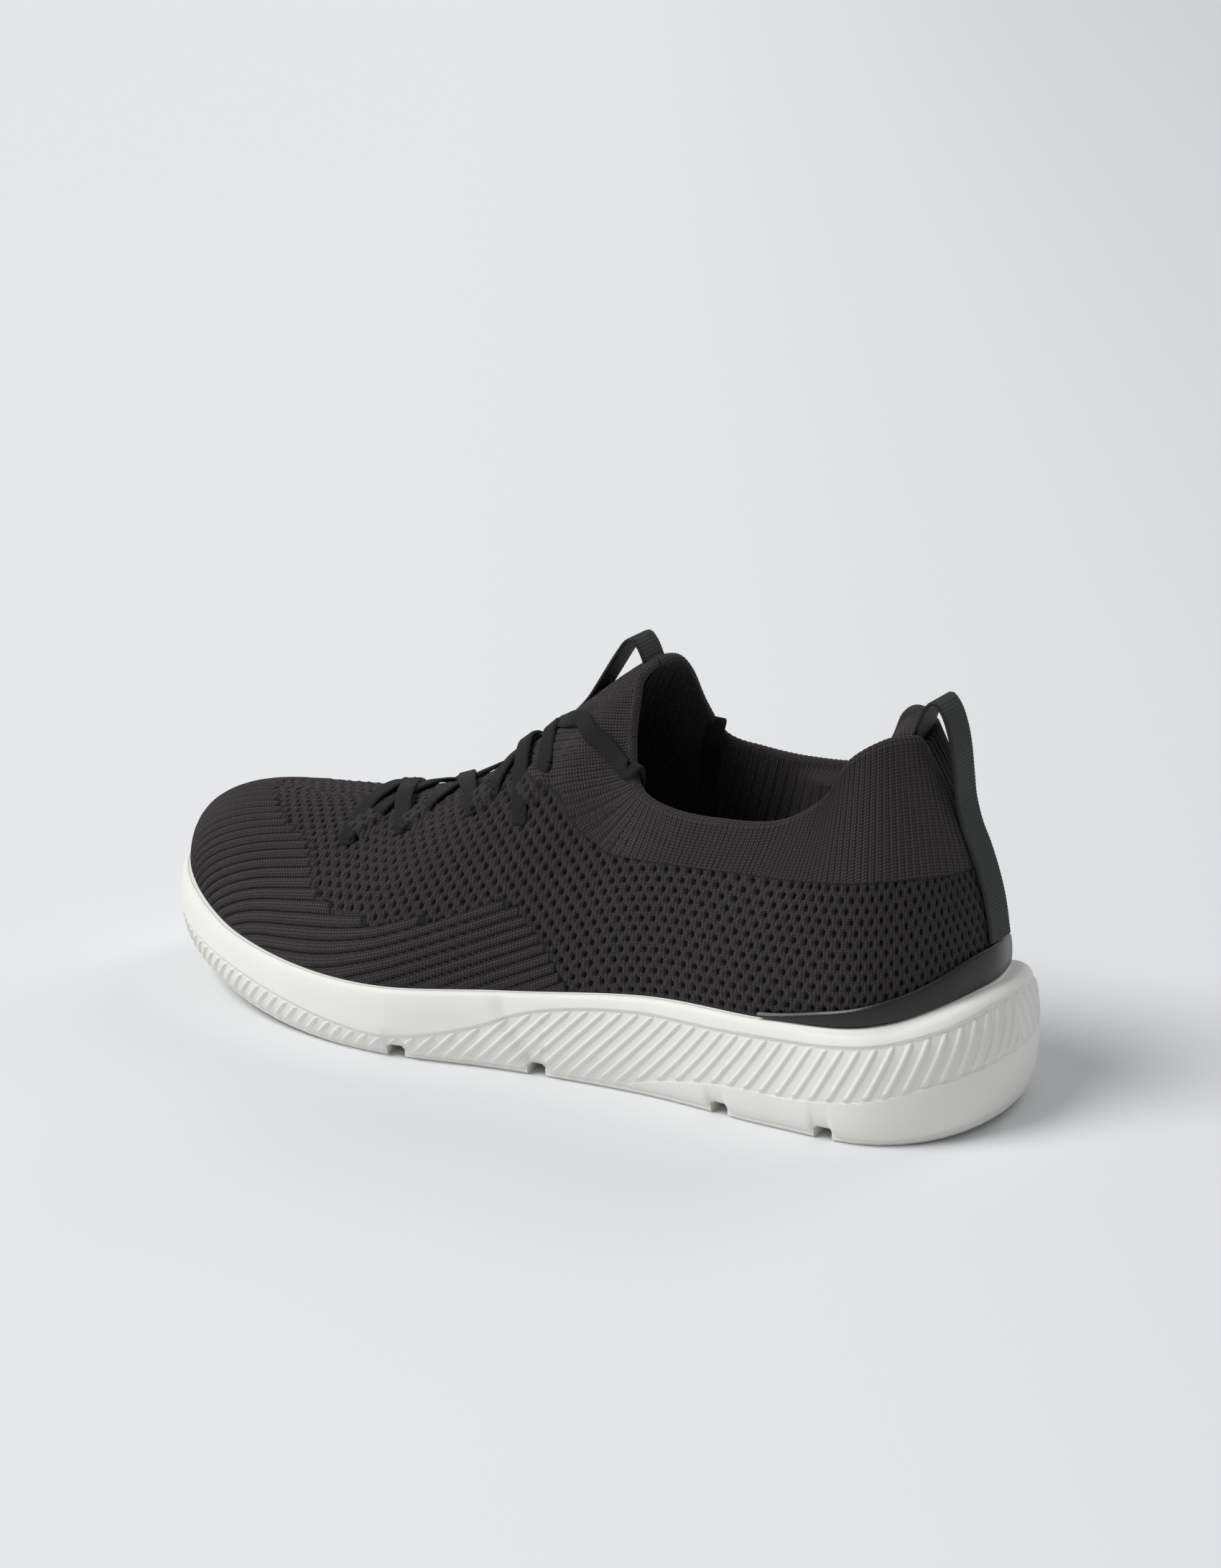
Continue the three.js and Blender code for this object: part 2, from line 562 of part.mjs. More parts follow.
const CHORD = 0.7;              // room for the flat facets of the curved walls
const insideKnit = KNIT_THICKNESS + GAP;
const heelCounter = wallSheet({
  from: -0.1, to: 0.1, low: () => 0.04, high: (u) => COUNTER_TOP - 1.8 * u * u,
  depth: insideKnit + CHORD / 2, thickness: COUNTER_THICKNESS, columns: 18, rows: 4,
});
const collarPadding = wallSheet({
  from: -0.16, to: 0.16, low: () => COUNTER_TOP + 0.04, high: () => 0.92,
  depth: insideKnit + CHORD / 2, thickness: PADDING_THICKNESS, columns: 24, rows: 3,
});
const toePuff = wallSheet({
  from: 0.445, to: 0.555, low: () => 0.06, high: () => 0.4,
  depth: insideKnit + CHORD, thickness: PUFF_THICKNESS, columns: 16, rows: 3,
});

/** A layer across the inside of the shoe, from one height above the feather line to another. */
function layer(inset, low, thickness) {
  return swept((w, i) => {
    const p = planAt(w, footInset(station(w)[0]) + inset);
    p.z = featherZ(p.x) + low + i * thickness;
    return p;
  }, 2, 72);
}
const boardLow = GAP;
const foamLow = boardLow + BOARD_THICKNESS + GAP;
const coverLow = foamLow + INSOLE_FOAM + GAP;
const insoleInset = insideKnit + COUNTER_THICKNESS + 2;

// ---------------------------------------------------------------- the two webbing loops

/** Stops of a webbing that stays level across the shoe, through [x, z] points. */
function webbing(points, step) {
  const spots = points.map(([x, z]) => new THREE.Vector3(x, 0, z));
  const curve = new THREE.CatmullRomCurve3(spots, false, 'centripetal');
  const count = Math.round(curve.getLength() / step);
  return curve.getSpacedPoints(count).map((at, i) => {
    const tangent = curve.getTangentAt(i / count);
    return { at, face: new THREE.Vector3(tangent.z, 0, -tangent.x) };
  });
}

const HEEL_STRAP_W = -0.006;   // the strap runs up the middle of the heel
const HEEL_LOOP_Z = 106;       // where the free loop starts to bend away from the sewn part
const sewnOn = (v) => {
  const p = skinAt(HEEL_STRAP_W, v, -GAP - 0.2 - WEBBING_THICKNESS / 2);
  return [p.x, p.z];
};
const lengthwise = (points) => points.map(([x, z]) => [x * ALONG, z]);
const heelPath = [...[0.16, 0.27, 0.38, 0.49].map(sewnOn), ...lengthwise([[15.6, 88], [17.6, 97],
  [20.3, 106], [23.2, 114], [26.2, 119.5], [28.9, 121.6], [31.4, 119.8], [33.2, 116.3],
  [34, 112.4]])];
const heelWebbing = ribbon(webbing(heelPath, 3.5), HEEL_WEBBING_WIDTH, WEBBING_THICKNESS);
const above = (z) => block([-100, -100, z], [400, 100, 300]);
const heelStrap = heelWebbing.subtract(above(HEEL_LOOP_Z));
const heelLoop = heelWebbing.intersect(above(HEEL_LOOP_Z + GAP));

const tonguePath = lengthwise([[143.6, 107.3], [140.6, 111.2], [137, 117], [133.5, 122.5],
  [130.4, 126.6], [128.3, 127.4], [126.4, 125.6], [124.9, 122.9]]);
const tongueTab = ribbon(webbing(tonguePath, 2.5), TONGUE_WEBBING_WIDTH, WEBBING_THICKNESS);

// ---------------------------------------------------------------- finishes and the shoe

const finish = (color, roughness, metalness = 0) => (
  new THREE.MeshStandardMaterial({ color, roughness, metalness })
);
const whiteFoam = finish(0xe9e9e3, 0.62);
const whiteRubber = finish(0xe4e4de, 0.55);
const blackKnit = finish(0x2a2527, 0.95);
const blackLeather = finish(0x151515, 0.4);
const blackWebbing = finish(0x1b1d1d, 0.8);
const blackPlastic = finish(0x111111, 0.3);
const greyBoard = finish(0x8c8a84, 0.9);
const greyFoam = finish(0x3a3a3c, 0.9);

const shoe = new THREE.Group();

function add(name, manifold, material) {
  const mesh = new THREE.Mesh(toGeometry(manifold), material);
  mesh.name = name;
  shoe.add(mesh);
}

add('midsole_rear', midsole.intersect(halfSpace(-1, FLEX_X, { gap: GAP / 2 })), whiteFoam);
add('midsole_toe', midsole.intersect(halfSpace(1, FLEX_X, { gap: GAP / 2 })), whiteFoam);
POD_NAMES.forEach((name, i) => add(`tread_${name}`, pod(i), whiteRubber));
add('upper_rear', upperRear, blackKnit);
add('upper_bend', upperBend, blackKnit);
add('upper_toe', upperToe, blackKnit);
add('heel_foxing', foxing, blackLeather);
add('heel_counter', heelCounter, greyBoard);
add('collar_padding', collarPadding, greyFoam);
add('toe_puff', toePuff, greyBoard);
add('lasting_board', layer(insideKnit + 0.2, boardLow, BOARD_THICKNESS), greyBoard);
add('insole_foam', layer(insoleInset, foamLow, INSOLE_FOAM), greyFoam);
add('insole_cover', layer(insoleInset, coverLow, INSOLE_COVER), blackKnit);
add('lace', lace, blackWebbing);
add('aglet_outer', aglet(1), blackPlastic);
add('aglet_inner', aglet(-1), blackPlastic);
add('heel_tab_strap', heelStrap, blackWebbing);
add('heel_tab_loop', heelLoop, blackWebbing);
add('tongue_tab', tongueTab, blackWebbing);

// The origin goes to the centre of the footprint, on the ground.
const bounds = new THREE.Box3().setFromObject(shoe);
const centre = bounds.getCenter(new THREE.Vector3());
shoe.position.set(-centre.x, -centre.y, -bounds.min.z);

export default shoe;
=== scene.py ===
"""The looks of a knitted slip-in running shoe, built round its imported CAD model.

Shapes are worked out in millimetres from the back of the sole and the shoe's centre line, and
put into the model's frame, in metres, when a mesh is made.
"""

import json
import logging
import math
from collections.abc import Callable, Sequence
from dataclasses import dataclass, field
from enum import Enum
from functools import partialmethod

import bmesh
import bpy
import numpy as np
from bpy.types import Material, Mesh, Node, NodeSocket, NodeTree, Object, bpy_prop_collection
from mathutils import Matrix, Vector
from mathutils.bvhtree import BVHTree

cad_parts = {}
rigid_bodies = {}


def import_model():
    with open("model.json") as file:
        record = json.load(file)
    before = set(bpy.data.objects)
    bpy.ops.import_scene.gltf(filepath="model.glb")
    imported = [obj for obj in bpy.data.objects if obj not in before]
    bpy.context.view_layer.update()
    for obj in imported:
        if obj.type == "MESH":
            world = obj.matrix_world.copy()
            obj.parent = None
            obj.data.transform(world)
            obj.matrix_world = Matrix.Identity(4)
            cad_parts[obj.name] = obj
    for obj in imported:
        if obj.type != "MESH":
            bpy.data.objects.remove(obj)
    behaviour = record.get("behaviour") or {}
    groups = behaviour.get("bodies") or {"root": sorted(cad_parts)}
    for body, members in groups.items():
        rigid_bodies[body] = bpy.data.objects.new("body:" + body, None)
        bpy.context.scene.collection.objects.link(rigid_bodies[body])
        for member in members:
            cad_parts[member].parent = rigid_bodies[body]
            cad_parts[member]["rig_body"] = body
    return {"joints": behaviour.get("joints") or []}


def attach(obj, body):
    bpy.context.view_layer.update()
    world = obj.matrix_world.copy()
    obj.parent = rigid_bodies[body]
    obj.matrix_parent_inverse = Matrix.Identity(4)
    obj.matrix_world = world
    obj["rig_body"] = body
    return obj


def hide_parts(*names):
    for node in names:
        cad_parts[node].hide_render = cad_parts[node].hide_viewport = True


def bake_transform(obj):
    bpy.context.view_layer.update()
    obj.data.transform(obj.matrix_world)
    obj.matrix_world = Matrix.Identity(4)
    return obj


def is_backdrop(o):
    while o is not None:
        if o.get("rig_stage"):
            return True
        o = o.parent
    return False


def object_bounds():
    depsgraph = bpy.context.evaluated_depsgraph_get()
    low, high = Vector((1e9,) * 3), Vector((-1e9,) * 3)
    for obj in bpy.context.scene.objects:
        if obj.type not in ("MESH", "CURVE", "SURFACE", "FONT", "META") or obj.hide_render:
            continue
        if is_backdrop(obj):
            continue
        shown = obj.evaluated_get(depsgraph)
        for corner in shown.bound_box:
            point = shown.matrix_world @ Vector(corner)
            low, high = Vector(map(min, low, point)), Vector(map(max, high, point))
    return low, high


LOG = logging.getLogger("shoe")
Array = np.ndarray
Curve = Callable[[Array], Array]

MM = 0.001
REAR = "shoe_rear"


class Side(Enum):
    """The two long sides of the shoe."""

    OUTER = 1
    INNER = -1


# ---- curves


def run_of(points: Array, power: float = 1.0) -> Array:
    """How far along a line of points each one is, the first at 0, or the same down a grid."""
    steps = np.linalg.norm(np.diff(points, axis=0), axis=-1) ** power
    return np.concatenate([np.zeros_like(steps[:1]), np.cumsum(steps, axis=0)])


def span_at(knots: Array, places: Array) -> tuple[Array, Array, Array]:
    """For each place: the number of its span between knots, its length, and the share along it."""
    i = np.clip(np.searchsorted(knots, places, side="right") - 1, 0, len(knots) - 2)
    span = knots[i + 1] - knots[i]
    return i, span, (places - knots[i]) / span


def cubic(t: Array, span: Array, ends: tuple, slopes: tuple) -> Array:
    """From one end to the other, leaving and arriving with the two slopes."""
    t2, t3 = t * t, t * t * t
    even = (2 * t3 - 3 * t2 + 1) * ends[0] + (3 * t2 - 2 * t3) * ends[1]
    return even + ((t3 - 2 * t2 + t) * slopes[0] + (t3 - t2) * slopes[1]) * span


def along(pairs: Sequence[Sequence[float]]) -> Curve:
    """A smooth function through pairs of a place and a value, flat outside them.

    Args:
        pairs: the places, rising, each with its value.

    Returns:
        A function of an array of places.
    """
    at, value = np.array(pairs, float).T
    slope = np.zeros(len(at))
    slope[1:-1] = (value[2:] - value[:-2]) / (at[2:] - at[:-2])

    def evaluate(places: Array) -> Array:
        """The curve's values at those places."""
        i, span, t = span_at(at, np.clip(np.asarray(places, float), at[0], at[-1]))
        return cubic(t, span, (value[i], value[i + 1]), (slope[i], slope[i + 1]))

    return evaluate


def ramp(low: float, high: float, x: Array) -> Array:
    """A smooth step from 0 at low to 1 at high."""
    t = np.clip((np.asarray(x, float) - low) / (high - low), 0, 1)
    return t * t * (3 - 2 * t)


def mix(a: Array, b: Array, share: Array) -> Array:
    """From a to b by a share."""
    return a + (b - a) * share


def unit(vectors: Array) -> Array:
    """Vectors brought to length 1."""
    return vectors / np.maximum(np.linalg.norm(vectors, axis=-1, keepdims=True), 1e-9)


def through(points: Array, count: int) -> Array:
    """Evenly spaced points on one smooth open curve through given points.

    Args:
        points: the points, one row each.
        count: how many points to return.

    Returns:
        The points on the curve, one row each.
    """
    p = np.asarray(points, float)
    knots = run_of(p, 0.5)
    tangent = np.gradient(p, knots, axis=0)
    i, span, t = span_at(knots, np.linspace(0, knots[-1], count * 8))
    dense = cubic(t[:, None], span[:, None], (p[i], p[i + 1]), (tangent[i], tangent[i + 1]))
    run = run_of(dense)
    even = np.linspace(0, run[-1], count)
    return np.stack([np.interp(even, run, dense[:, k]) for k in range(dense.shape[1])], 1)


def facing(points: Array, away: Array, first: int = 0, ring: bool = False) -> Array:
    """Normals of a grid of points, turned to the side that away looks to.

    Args:
        points: the grid.
        away: directions to turn to, for the rows from the first one that is compared.
        first: that row.
        ring: whether the last column lies on the first one.

    Returns:
        A unit normal for each point.
    """
    up, across = np.gradient(points, axis=0), np.gradient(points, axis=1)
    if ring:
        across[:, 0] = across[:, -1] = points[:, 1] - points[:, -2]
    normal = unit(np.cross(up, across))
    toward = np.sum(normal[first : first + len(away) if len(away) > 1 else None] * away, -1)
    return -normal if np.mean(toward) < 0 else normal


# ---- the shape of the shoe


@dataclass
class Last:
    """The shape that the shoe is made over, the same as the CAD model's.

    w runs once round the shoe: 0 at the heel, 0.5 at the toe, first along the outer side. u
    runs from the heel (0) to the toe (1) on either side. v runs up the wall of the upper.
    """

    length: float = 298.0
    width: float = 108.5
    toe_spring: float = 14.0
    feather_inset: float = 3.6
    heel_inset: float = 9.5
    ledge: float = 1.4
    tongue_u: float = 26 / 48
    pole_u: float = 42 / 48
    flex_x: float = 192.0
    plan: tuple = (
        (0, 0.037), (0.022, 0.27), (0.092, 0.432), (0.201, 0.447), (0.352, 0.415),
        (0.503, 0.447), (0.638, 0.512), (0.755, 0.48), (0.866, 0.365), (0.953, 0.185),
        (0.997, -0.02), (0.993, -0.166), (0.953, -0.313), (0.879, -0.429), (0.779, -0.484),
        (0.671, -0.478), (0.554, -0.4), (0.403, -0.36), (0.252, -0.405), (0.1, -0.37),
        (0.022, -0.22),
    )
    toe_point: int = 10
    rim_back: tuple = (0, 33, 0, 107.5)
    rim_front: tuple = (26 / 48, 123, 0, 121.5)
    outer_rim: tuple = (
        (0.07, 31.5, 9, 111.7), (0.14, 37, 20, 112.3), (0.2, 46, 26, 106.5),
        (0.255, 53, 29.5, 95), (0.3, 66, 31.5, 87), (0.36, 86, 32, 84.5), (0.41, 103, 31, 85),
        (0.445, 114, 28, 89), (0.475, 119, 23, 101), (0.5, 121, 17, 113),
        (0.522, 122.5, 11, 119.5),
    )
    inner_rim: tuple = (
        (0.07, 33.5, -8, 111.7), (0.14, 42, -15, 113.5), (0.2, 50, -21, 109),
        (0.255, 57, -26, 98.5), (0.3, 67, -29.5, 89.5), (0.36, 86, -30.5, 87),
        (0.41, 103, -30, 88), (0.445, 114, -28, 91), (0.475, 119, -24, 101),
        (0.5, 121, -18, 113), (0.522, 122.5, -11, 119.5),
    )
    instep: tuple = (
        (0.522, 115, 126), (26 / 48, 123, 121.5), (0.58, 139, 108.5), (0.62, 156, 94),
        (0.66, 172, 81), (0.7, 188, 72), (0.76, 209, 65.5), (0.82, 228, 62.5),
        (42 / 48, 243, 60.5), (0.93, 256, 58.5),
    )

    def __post_init__(self) -> None:
        """Sets up the curves that the shape is drawn from."""
        self._trace_plan()
        self.feather_share = along(
            [(0, 43.5), (0.085, 36), (0.2, 33.5), (0.335, 32), (0.5, 26), (0.67, 22),
             (0.84, 25), (1, 33.5)]
        )
        self.rims = {
            Side.OUTER: self._rim(self.outer_rim, self.inner_rim),
            Side.INNER: self._rim(self.inner_rim, self.outer_rim),
        }
        self.ridge = [along([(row[0], row[k]) for row in self.instep]) for k in (1, 2)]
        self.crown_reach = along(
            [(0, 0.42), (0.1, 0.36), (0.36, 0.45), (0.5, 0.28), (0.54, 0.24), (0.61, 0.26),
             (0.76, 0.4), (0.87, 0.55), (1, 0.6)]
        )
        self.crown_drop = along(
            [(0, 0.22), (0.14, 0.3), (0.36, 0.4), (0.47, 0.35), (0.52, 0.12),
             (self.tongue_u, 0.02), (0.61, 0), (0.87, -0.02), (1, -0.03)]
        )
        self.foot_bulge = along(
            [(0, 0.05), (0.06, 0), (0.14, 0), (0.36, 0.2), (0.5, 0.08), (0.61, 0.02), (1, 0.01)]
        )
        self.foot_rise = along(
            [(0, 0.44), (0.36, 0.35), (0.54, 0.4), (0.61, 0.42), (0.76, 0.52), (1, 0.7)]
        )
        side = self.feather_inset
        self.foot_inset = along(
            [(0, self.heel_inset), (0.05, self.heel_inset + 1), (0.12, self.heel_inset),
             (0.2, side + 1.8), (0.32, side), (1, side)]
        )

    def _trace_plan(self) -> None:
        """Runs one closed smooth curve through the plan's points and measures it."""
        p = np.array(self.plan, float) * (self.length, self.width)
        steps = 80
        t = (np.arange(steps) / steps)[:, None]
        spans = []
        for i in range(len(p)):
            a, b, c, d = (p[(i + k) % len(p)] for k in (-1, 0, 1, 2))
            before, here, after = (np.sum((n - m) ** 2) ** 0.25 for m, n in ((a, b), (b, c), (c, d)))
            leave = ((b - a) / before - (c - a) / (before + here) + (c - b) / here) * here
            reach = ((c - b) / here - (d - b) / (here + after) + (d - c) / after) * here
            spans.append(cubic(t, 1.0, (b, c), (leave, reach)))
        loop = np.vstack([*spans, p[:1]])
        self._loop = loop
        self._run = run_of(loop)
        self._toe = self._run[self.toe_point * steps] / self._run[-1]
        ahead = np.roll(loop[:-1], -1, 0) - np.roll(loop[:-1], 1, 0)
        self._tangent = unit(np.vstack([ahead, ahead[:1]]))

    def _rim(self, side: tuple, other: tuple) -> list[Curve]:
        """The mouth's rim on one side as three curves, x, y and z."""
        before = (-other[0][0], *other[0][1:])
        after = (2 * self.tongue_u - other[-1][0], *other[-1][1:])
        rows = [before, self.rim_back, *side, self.rim_front, after]
        return [along([(row[0], row[k]) for row in rows]) for k in (1, 2, 3)]

    def rim_line(self, side: Side, u: Array) -> Array:
        """Points of the mouth's rim on one side."""
        return np.stack([curve(u) for curve in self.rims[side]], -1)

    def plan_at(self, w: Array, inset: Array | float) -> Array:
        """A point of the plan, that far inside its edge, as x and y."""
        turn = np.mod(w, 1.0)
        share = np.where(turn < 0.5, turn * 2 * self._toe, mix(self._toe, 1, turn * 2 - 1))
        run = share * self._run[-1]
        x, y = (np.interp(run, self._run, self._loop[:, k]) for k in (0, 1))
        tx, ty = (np.interp(run, self._run, self._tangent[:, k]) for k in (0, 1))
        return np.stack([x + inset * ty, y - inset * tx], -1)

    def run_at(self, w: Array) -> Array:
        """How far round the plan w is from the back of the heel, on its own side."""
        turn = np.mod(w, 1.0)
        share = np.where(turn < 0.5, turn * 2 * self._toe, (2 - turn * 2) * (1 - self._toe))
        return share * self._run[-1]

    def u_of(self, w: Array) -> Array:
        """u, from the heel to the toe, for a place round the shoe."""
        turn = np.mod(w, 1.0)
        return np.where(turn <= 0.5, turn * 2, 2 - turn * 2)

    def w_of(self, u: float, side: Side) -> Array:
        """The place round the shoe of a u on one side."""
        return np.array(u / 2 if side is Side.OUTER else 1 - u / 2)

    def feather_z(self, x: Array) -> Array:
        """Height of the line where the upper meets the sole."""
        return self.feather_share(x / self.length)

    def ground_z(self, x: Array) -> Array:
        """Height of the underside of the sole."""
        toe = np.clip((x / self.length - 0.655) / 0.345, 0, 1.05)
        heel = np.clip(1 - x / (0.085 * self.length), 0, 1)
        return self.toe_spring * toe * toe + 3 * heel * heel

    def crown(self, w: Array) -> Array:
        """Where the wall of the upper ends: the rim of the mouth, then the instep's ridge."""
        u = self.u_of(w)
        outer = np.mod(w, 1.0) <= 0.5
        rim = np.where(outer[..., None], *(self.rim_line(side, u) for side in Side))
        at = np.minimum(u, self.pole_u)
        top = np.stack([self.ridge[0](at), np.zeros_like(at), self.ridge[1](at)], -1)
        return np.where((u < self.tongue_u)[..., None], rim, top)

    def face(self, w: Array, v: Array) -> Array:
        """A point of the upper's smooth outer face."""
        w, v = np.broadcast_arrays(np.asarray(w, float), np.asarray(v, float))
        u = self.u_of(w)
        plan = self.plan_at(w, self.foot_inset(u))
        foot = np.concatenate([plan, self.feather_z(plan[..., :1])], -1)
        crown = self.crown(w)
        reach = foot - crown
        height = -reach[..., 2]
        flat = reach * (1, 1, 0)
        low = foot + flat * self.foot_bulge(u)[..., None]
        low[..., 2] += height * self.foot_rise(u)
        high = crown + flat * self.crown_reach(u)[..., None]
        high[..., 2] -= height * self.crown_drop(u)
        t = v[..., None]
        s = 1 - t
        return s**3 * foot + 3 * s**2 * t * low + 3 * s * t**2 * high + t**3 * crown

    def normal(self, w: Array, v: Array) -> Array:
        """The outward direction at a point of the upper's face."""
        w, v = np.broadcast_arrays(np.asarray(w, float), np.asarray(v, float))
        u = self.u_of(w)
        high = np.clip(v, 0.02, 0.98)
        across = self.face(w + 0.004, high) - self.face(w - 0.004, high)
        up = self.face(w, high + 0.02) - self.face(w, high - 0.02)
        normal = np.cross(up, across)
        on_ridge = (v > 0.9999) & (u >= self.tongue_u - 0.001)
        normal[..., 1] = np.where(on_ridge, 0, normal[..., 1])
        at_pole = (v > 0.97) & (u > self.pole_u - 0.001)
        normal = np.where(at_pole[..., None], (0.0, 0.0, 1.0), normal)
        return unit(normal)

    def skin(self, w: Array, v: Array, depth: Array | float) -> Array:
        """A point that deep under the upper's outer face."""
        return self.face(w, v) - self.normal(w, v) * np.asarray(depth, float)[..., None]


# ---- the model's frame


@dataclass
class Place:
    """Where the shoe's own millimetres lie in the model's frame."""

    back: float
    centre: float

    @classmethod
    def of_frame(cls, low: Vector, joints: Sequence[dict]) -> "Place":
        """The place given by the model's lowest corner and the bend's joint."""
        bend = next(j for j in joints if j["name"] == "forefoot_flex")
        return cls(back=low[0], centre=bend["pos_m"][1])

    def metres(self, points: Array) -> Array:
        """Shoe millimetres as metres in the frame."""
        return np.asarray(points, float) * MM + (self.back, self.centre, 0)

    def point(self, x: float, y: float, z: float) -> Vector:
        """One point in the frame."""
        return Vector(self.metres(np.array((x, y, z))))


@dataclass
class Bend:
    """The bend at the ball of the foot, for pieces that cross it."""

    place: Place
    last: Last
    skew: float = math.radians(9)
    reach: float = 14.0

    def across(self, piece: Object) -> None:
        """Works out the bend's ends across the ball of the foot, which are not used, and bakes the piece's
        transform into its mesh.
        """
        z = float(self.last.feather_z(self.last.flex_x))
        step = np.array((math.cos(self.skew), math.sin(self.skew), 0)) * self.reach
        middle = np.array((self.last.flex_x, 0, z))
        start, end = (self.place.point(*(middle + k * step)) for k in (-1, 1))
        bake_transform(piece)


# ---- meshes


@dataclass
class Patch:
    """A grid of points with what its material needs, as arrays of rows by columns."""

    points: Array
    uv: Array
    marks: dict[str, Array] = field(default_factory=dict)
    normals: Array | None = None

    def columns(self, start: int, stop: int) -> "Patch":
        """The same patch between two columns."""
        cut = slice(start, stop + 1)
        marks = {name: values[:, cut] for name, values in self.marks.items()}
        normals = None if self.normals is None else self.normals[:, cut]
        return Patch(self.points[:, cut], self.uv[:, cut], marks, normals)


def write(items: bpy_prop_collection, key: str, values: Array) -> None:
    """Sets one number or vector on every item of a mesh."""
    items.foreach_set(key, np.asarray(values, np.float32).ravel())


def read(items: bpy_prop_collection, key: str, width: int = 1) -> Array:
    """Gets whole numbers (width 1) or vectors (width 3) from every item of a mesh."""
    values = np.empty(len(items) * width, np.int32 if width == 1 else np.float32)
    items.foreach_get(key, values)
    return values if width == 1 else values.reshape(-1, width)


@dataclass
class Workshop:
    """Makes pieces: meshes in the model's frame, with a material and, where one is given, a body."""

    place: Place
    bend: Bend
    made: list[str] = field(default_factory=list)

    def mesh(self, name: str, patch: Patch, weld: bool = False, cap: bool = False) -> Mesh:
        """A mesh laid through a patch's points.

        Args:
            name: the mesh's name.
            patch: the points, with their UVs, marks and normals.
            weld: whether points that lie in one place become one.
            cap: whether the open ends are closed.

        Returns:
            The mesh, its faces looking the way of the patch's normals where it has them.
        """
        rows, columns = patch.points.shape[:2]
        bm = bmesh.new()
        bmesh.ops.create_grid(bm, x_segments=columns - 1, y_segments=rows - 1, size=1)
        mesh = bpy.data.meshes.new(name)
        bm.to_mesh(mesh)
        bm.free()
        write(mesh.vertices, "co", self.place.metres(patch.points))
        corner = read(mesh.loops, "vertex_index")
        write(mesh.uv_layers.new(name="Knit").data, "uv", patch.uv.reshape(-1, 2)[corner])
        for mark, values in patch.marks.items():
            write(mesh.attributes.new(mark, "FLOAT", "POINT").data, "value", values)
        if patch.normals is not None:
            kept = mesh.attributes.new("facing", "FLOAT_VECTOR", "POINT")
            write(kept.data, "vector", patch.normals)
        if weld or cap:
            bm = bmesh.new()
            bm.from_mesh(mesh)
            bmesh.ops.remove_doubles(bm, verts=bm.verts, dist=2e-6)
            if cap:
                bmesh.ops.holes_fill(bm, edges=bm.edges)
                bmesh.ops.recalc_face_normals(bm, faces=bm.faces)
            bm.to_mesh(mesh)
            bm.free()
        mesh.update()
        if patch.normals is not None:
            self._face(mesh)
        mesh.shade_smooth()
        return mesh

    def _face(self, mesh: Mesh) -> None:
        """Turns the faces to the way that was kept with the mesh, and shades them by it."""
        kept = mesh.attributes["facing"]
        normals = read(kept.data, "vector", 3)
        corner = read(mesh.loops, "vertex_index")[read(mesh.polygons, "loop_start")]
        if np.sum(read(mesh.polygons, "normal", 3) * normals[corner]) < 0:
            mesh.flip_normals()
        mesh.attributes.remove(kept)
        mesh.normals_split_custom_set_from_vertices(normals)

    def tape(
        self, name: str, stops: Array, faces: Array, width: Array | float, thickness: float,
        ribs: tuple[float, float] = (0, 1),
    ) -> Mesh:
        """A flat tape with rounded edges along a path, closed at both ends.

        Args:
            name: the mesh's name.
            stops: the tape's middle, one row each, in shoe millimetres.
            faces: the way that its face looks at each stop.
            width: the tape's width, one number or one for each stop.
            thickness: the tape's thickness.
            ribs: depth, as a share of the thickness, and pitch of the ribs across it.

        Returns:
            The mesh, with UVs in millimetres across and along the tape.
        """
        ahead = unit(np.gradient(stops, axis=0))
        side = unit(np.cross(ahead, faces))
        face = unit(np.cross(side, ahead))
        run = run_of(stops)
        turn = np.linspace(-math.pi / 2, math.pi / 2, 7)
        flat = np.linspace(-1, 1, 9)[1:-1]
        edge = [(math.cos(t) * 0.5, math.sin(t) * 0.5) for t in turn]
        section = [(1, a, b) for a, b in edge] + [(-s, 0, 0.5) for s in flat]
        section += [(-1, -a, b) for a, b in edge[::-1]] + [(s, 0, -0.5) for s in flat]
        section = np.array(section + section[:1])
        half = (np.broadcast_to(width, run.shape) - thickness)[:, None] / 2
        swell = 1 - ribs[0] * (0.5 - 0.5 * np.cos(2 * math.pi * run / ribs[1]))[:, None]
        a = section[None, :, 0] * half + section[None, :, 1] * thickness
        b = section[None, :, 2] * thickness * swell
        points = stops[:, None] + a[..., None] * side[:, None] + b[..., None] * face[:, None]
        uv = np.stack([a, np.broadcast_to(run[:, None], a.shape)], -1)
        return self.mesh(name, Patch(points, uv), weld=True, cap=True)

    def piece(self, name: str, *meshes: Mesh) -> Object:
        """One piece made of one or more meshes."""
        whole = meshes[0]
        if len(meshes) > 1:
            bm = bmesh.new()
            for mesh in meshes:
                bm.from_mesh(mesh)
            whole = bpy.data.meshes.new(name)
            bm.to_mesh(whole)
            bm.free()
            whole.shade_smooth()
            for mesh in meshes:
                bpy.data.meshes.remove(mesh)
        piece = bpy.data.objects.new(name, whole)
        bpy.context.scene.collection.objects.link(piece)
        return piece

    def lay(self, name: str, patch: Patch, material: Material, body: str | None = None,
            replaces: Sequence[str] = (), weld: bool = False, cap: bool = False) -> Object:
        """One piece from one patch, as mesh and dress make them."""
        mesh = self.mesh(name, patch, weld, cap)
        return self.dress(self.piece(name, mesh), material, body, replaces)

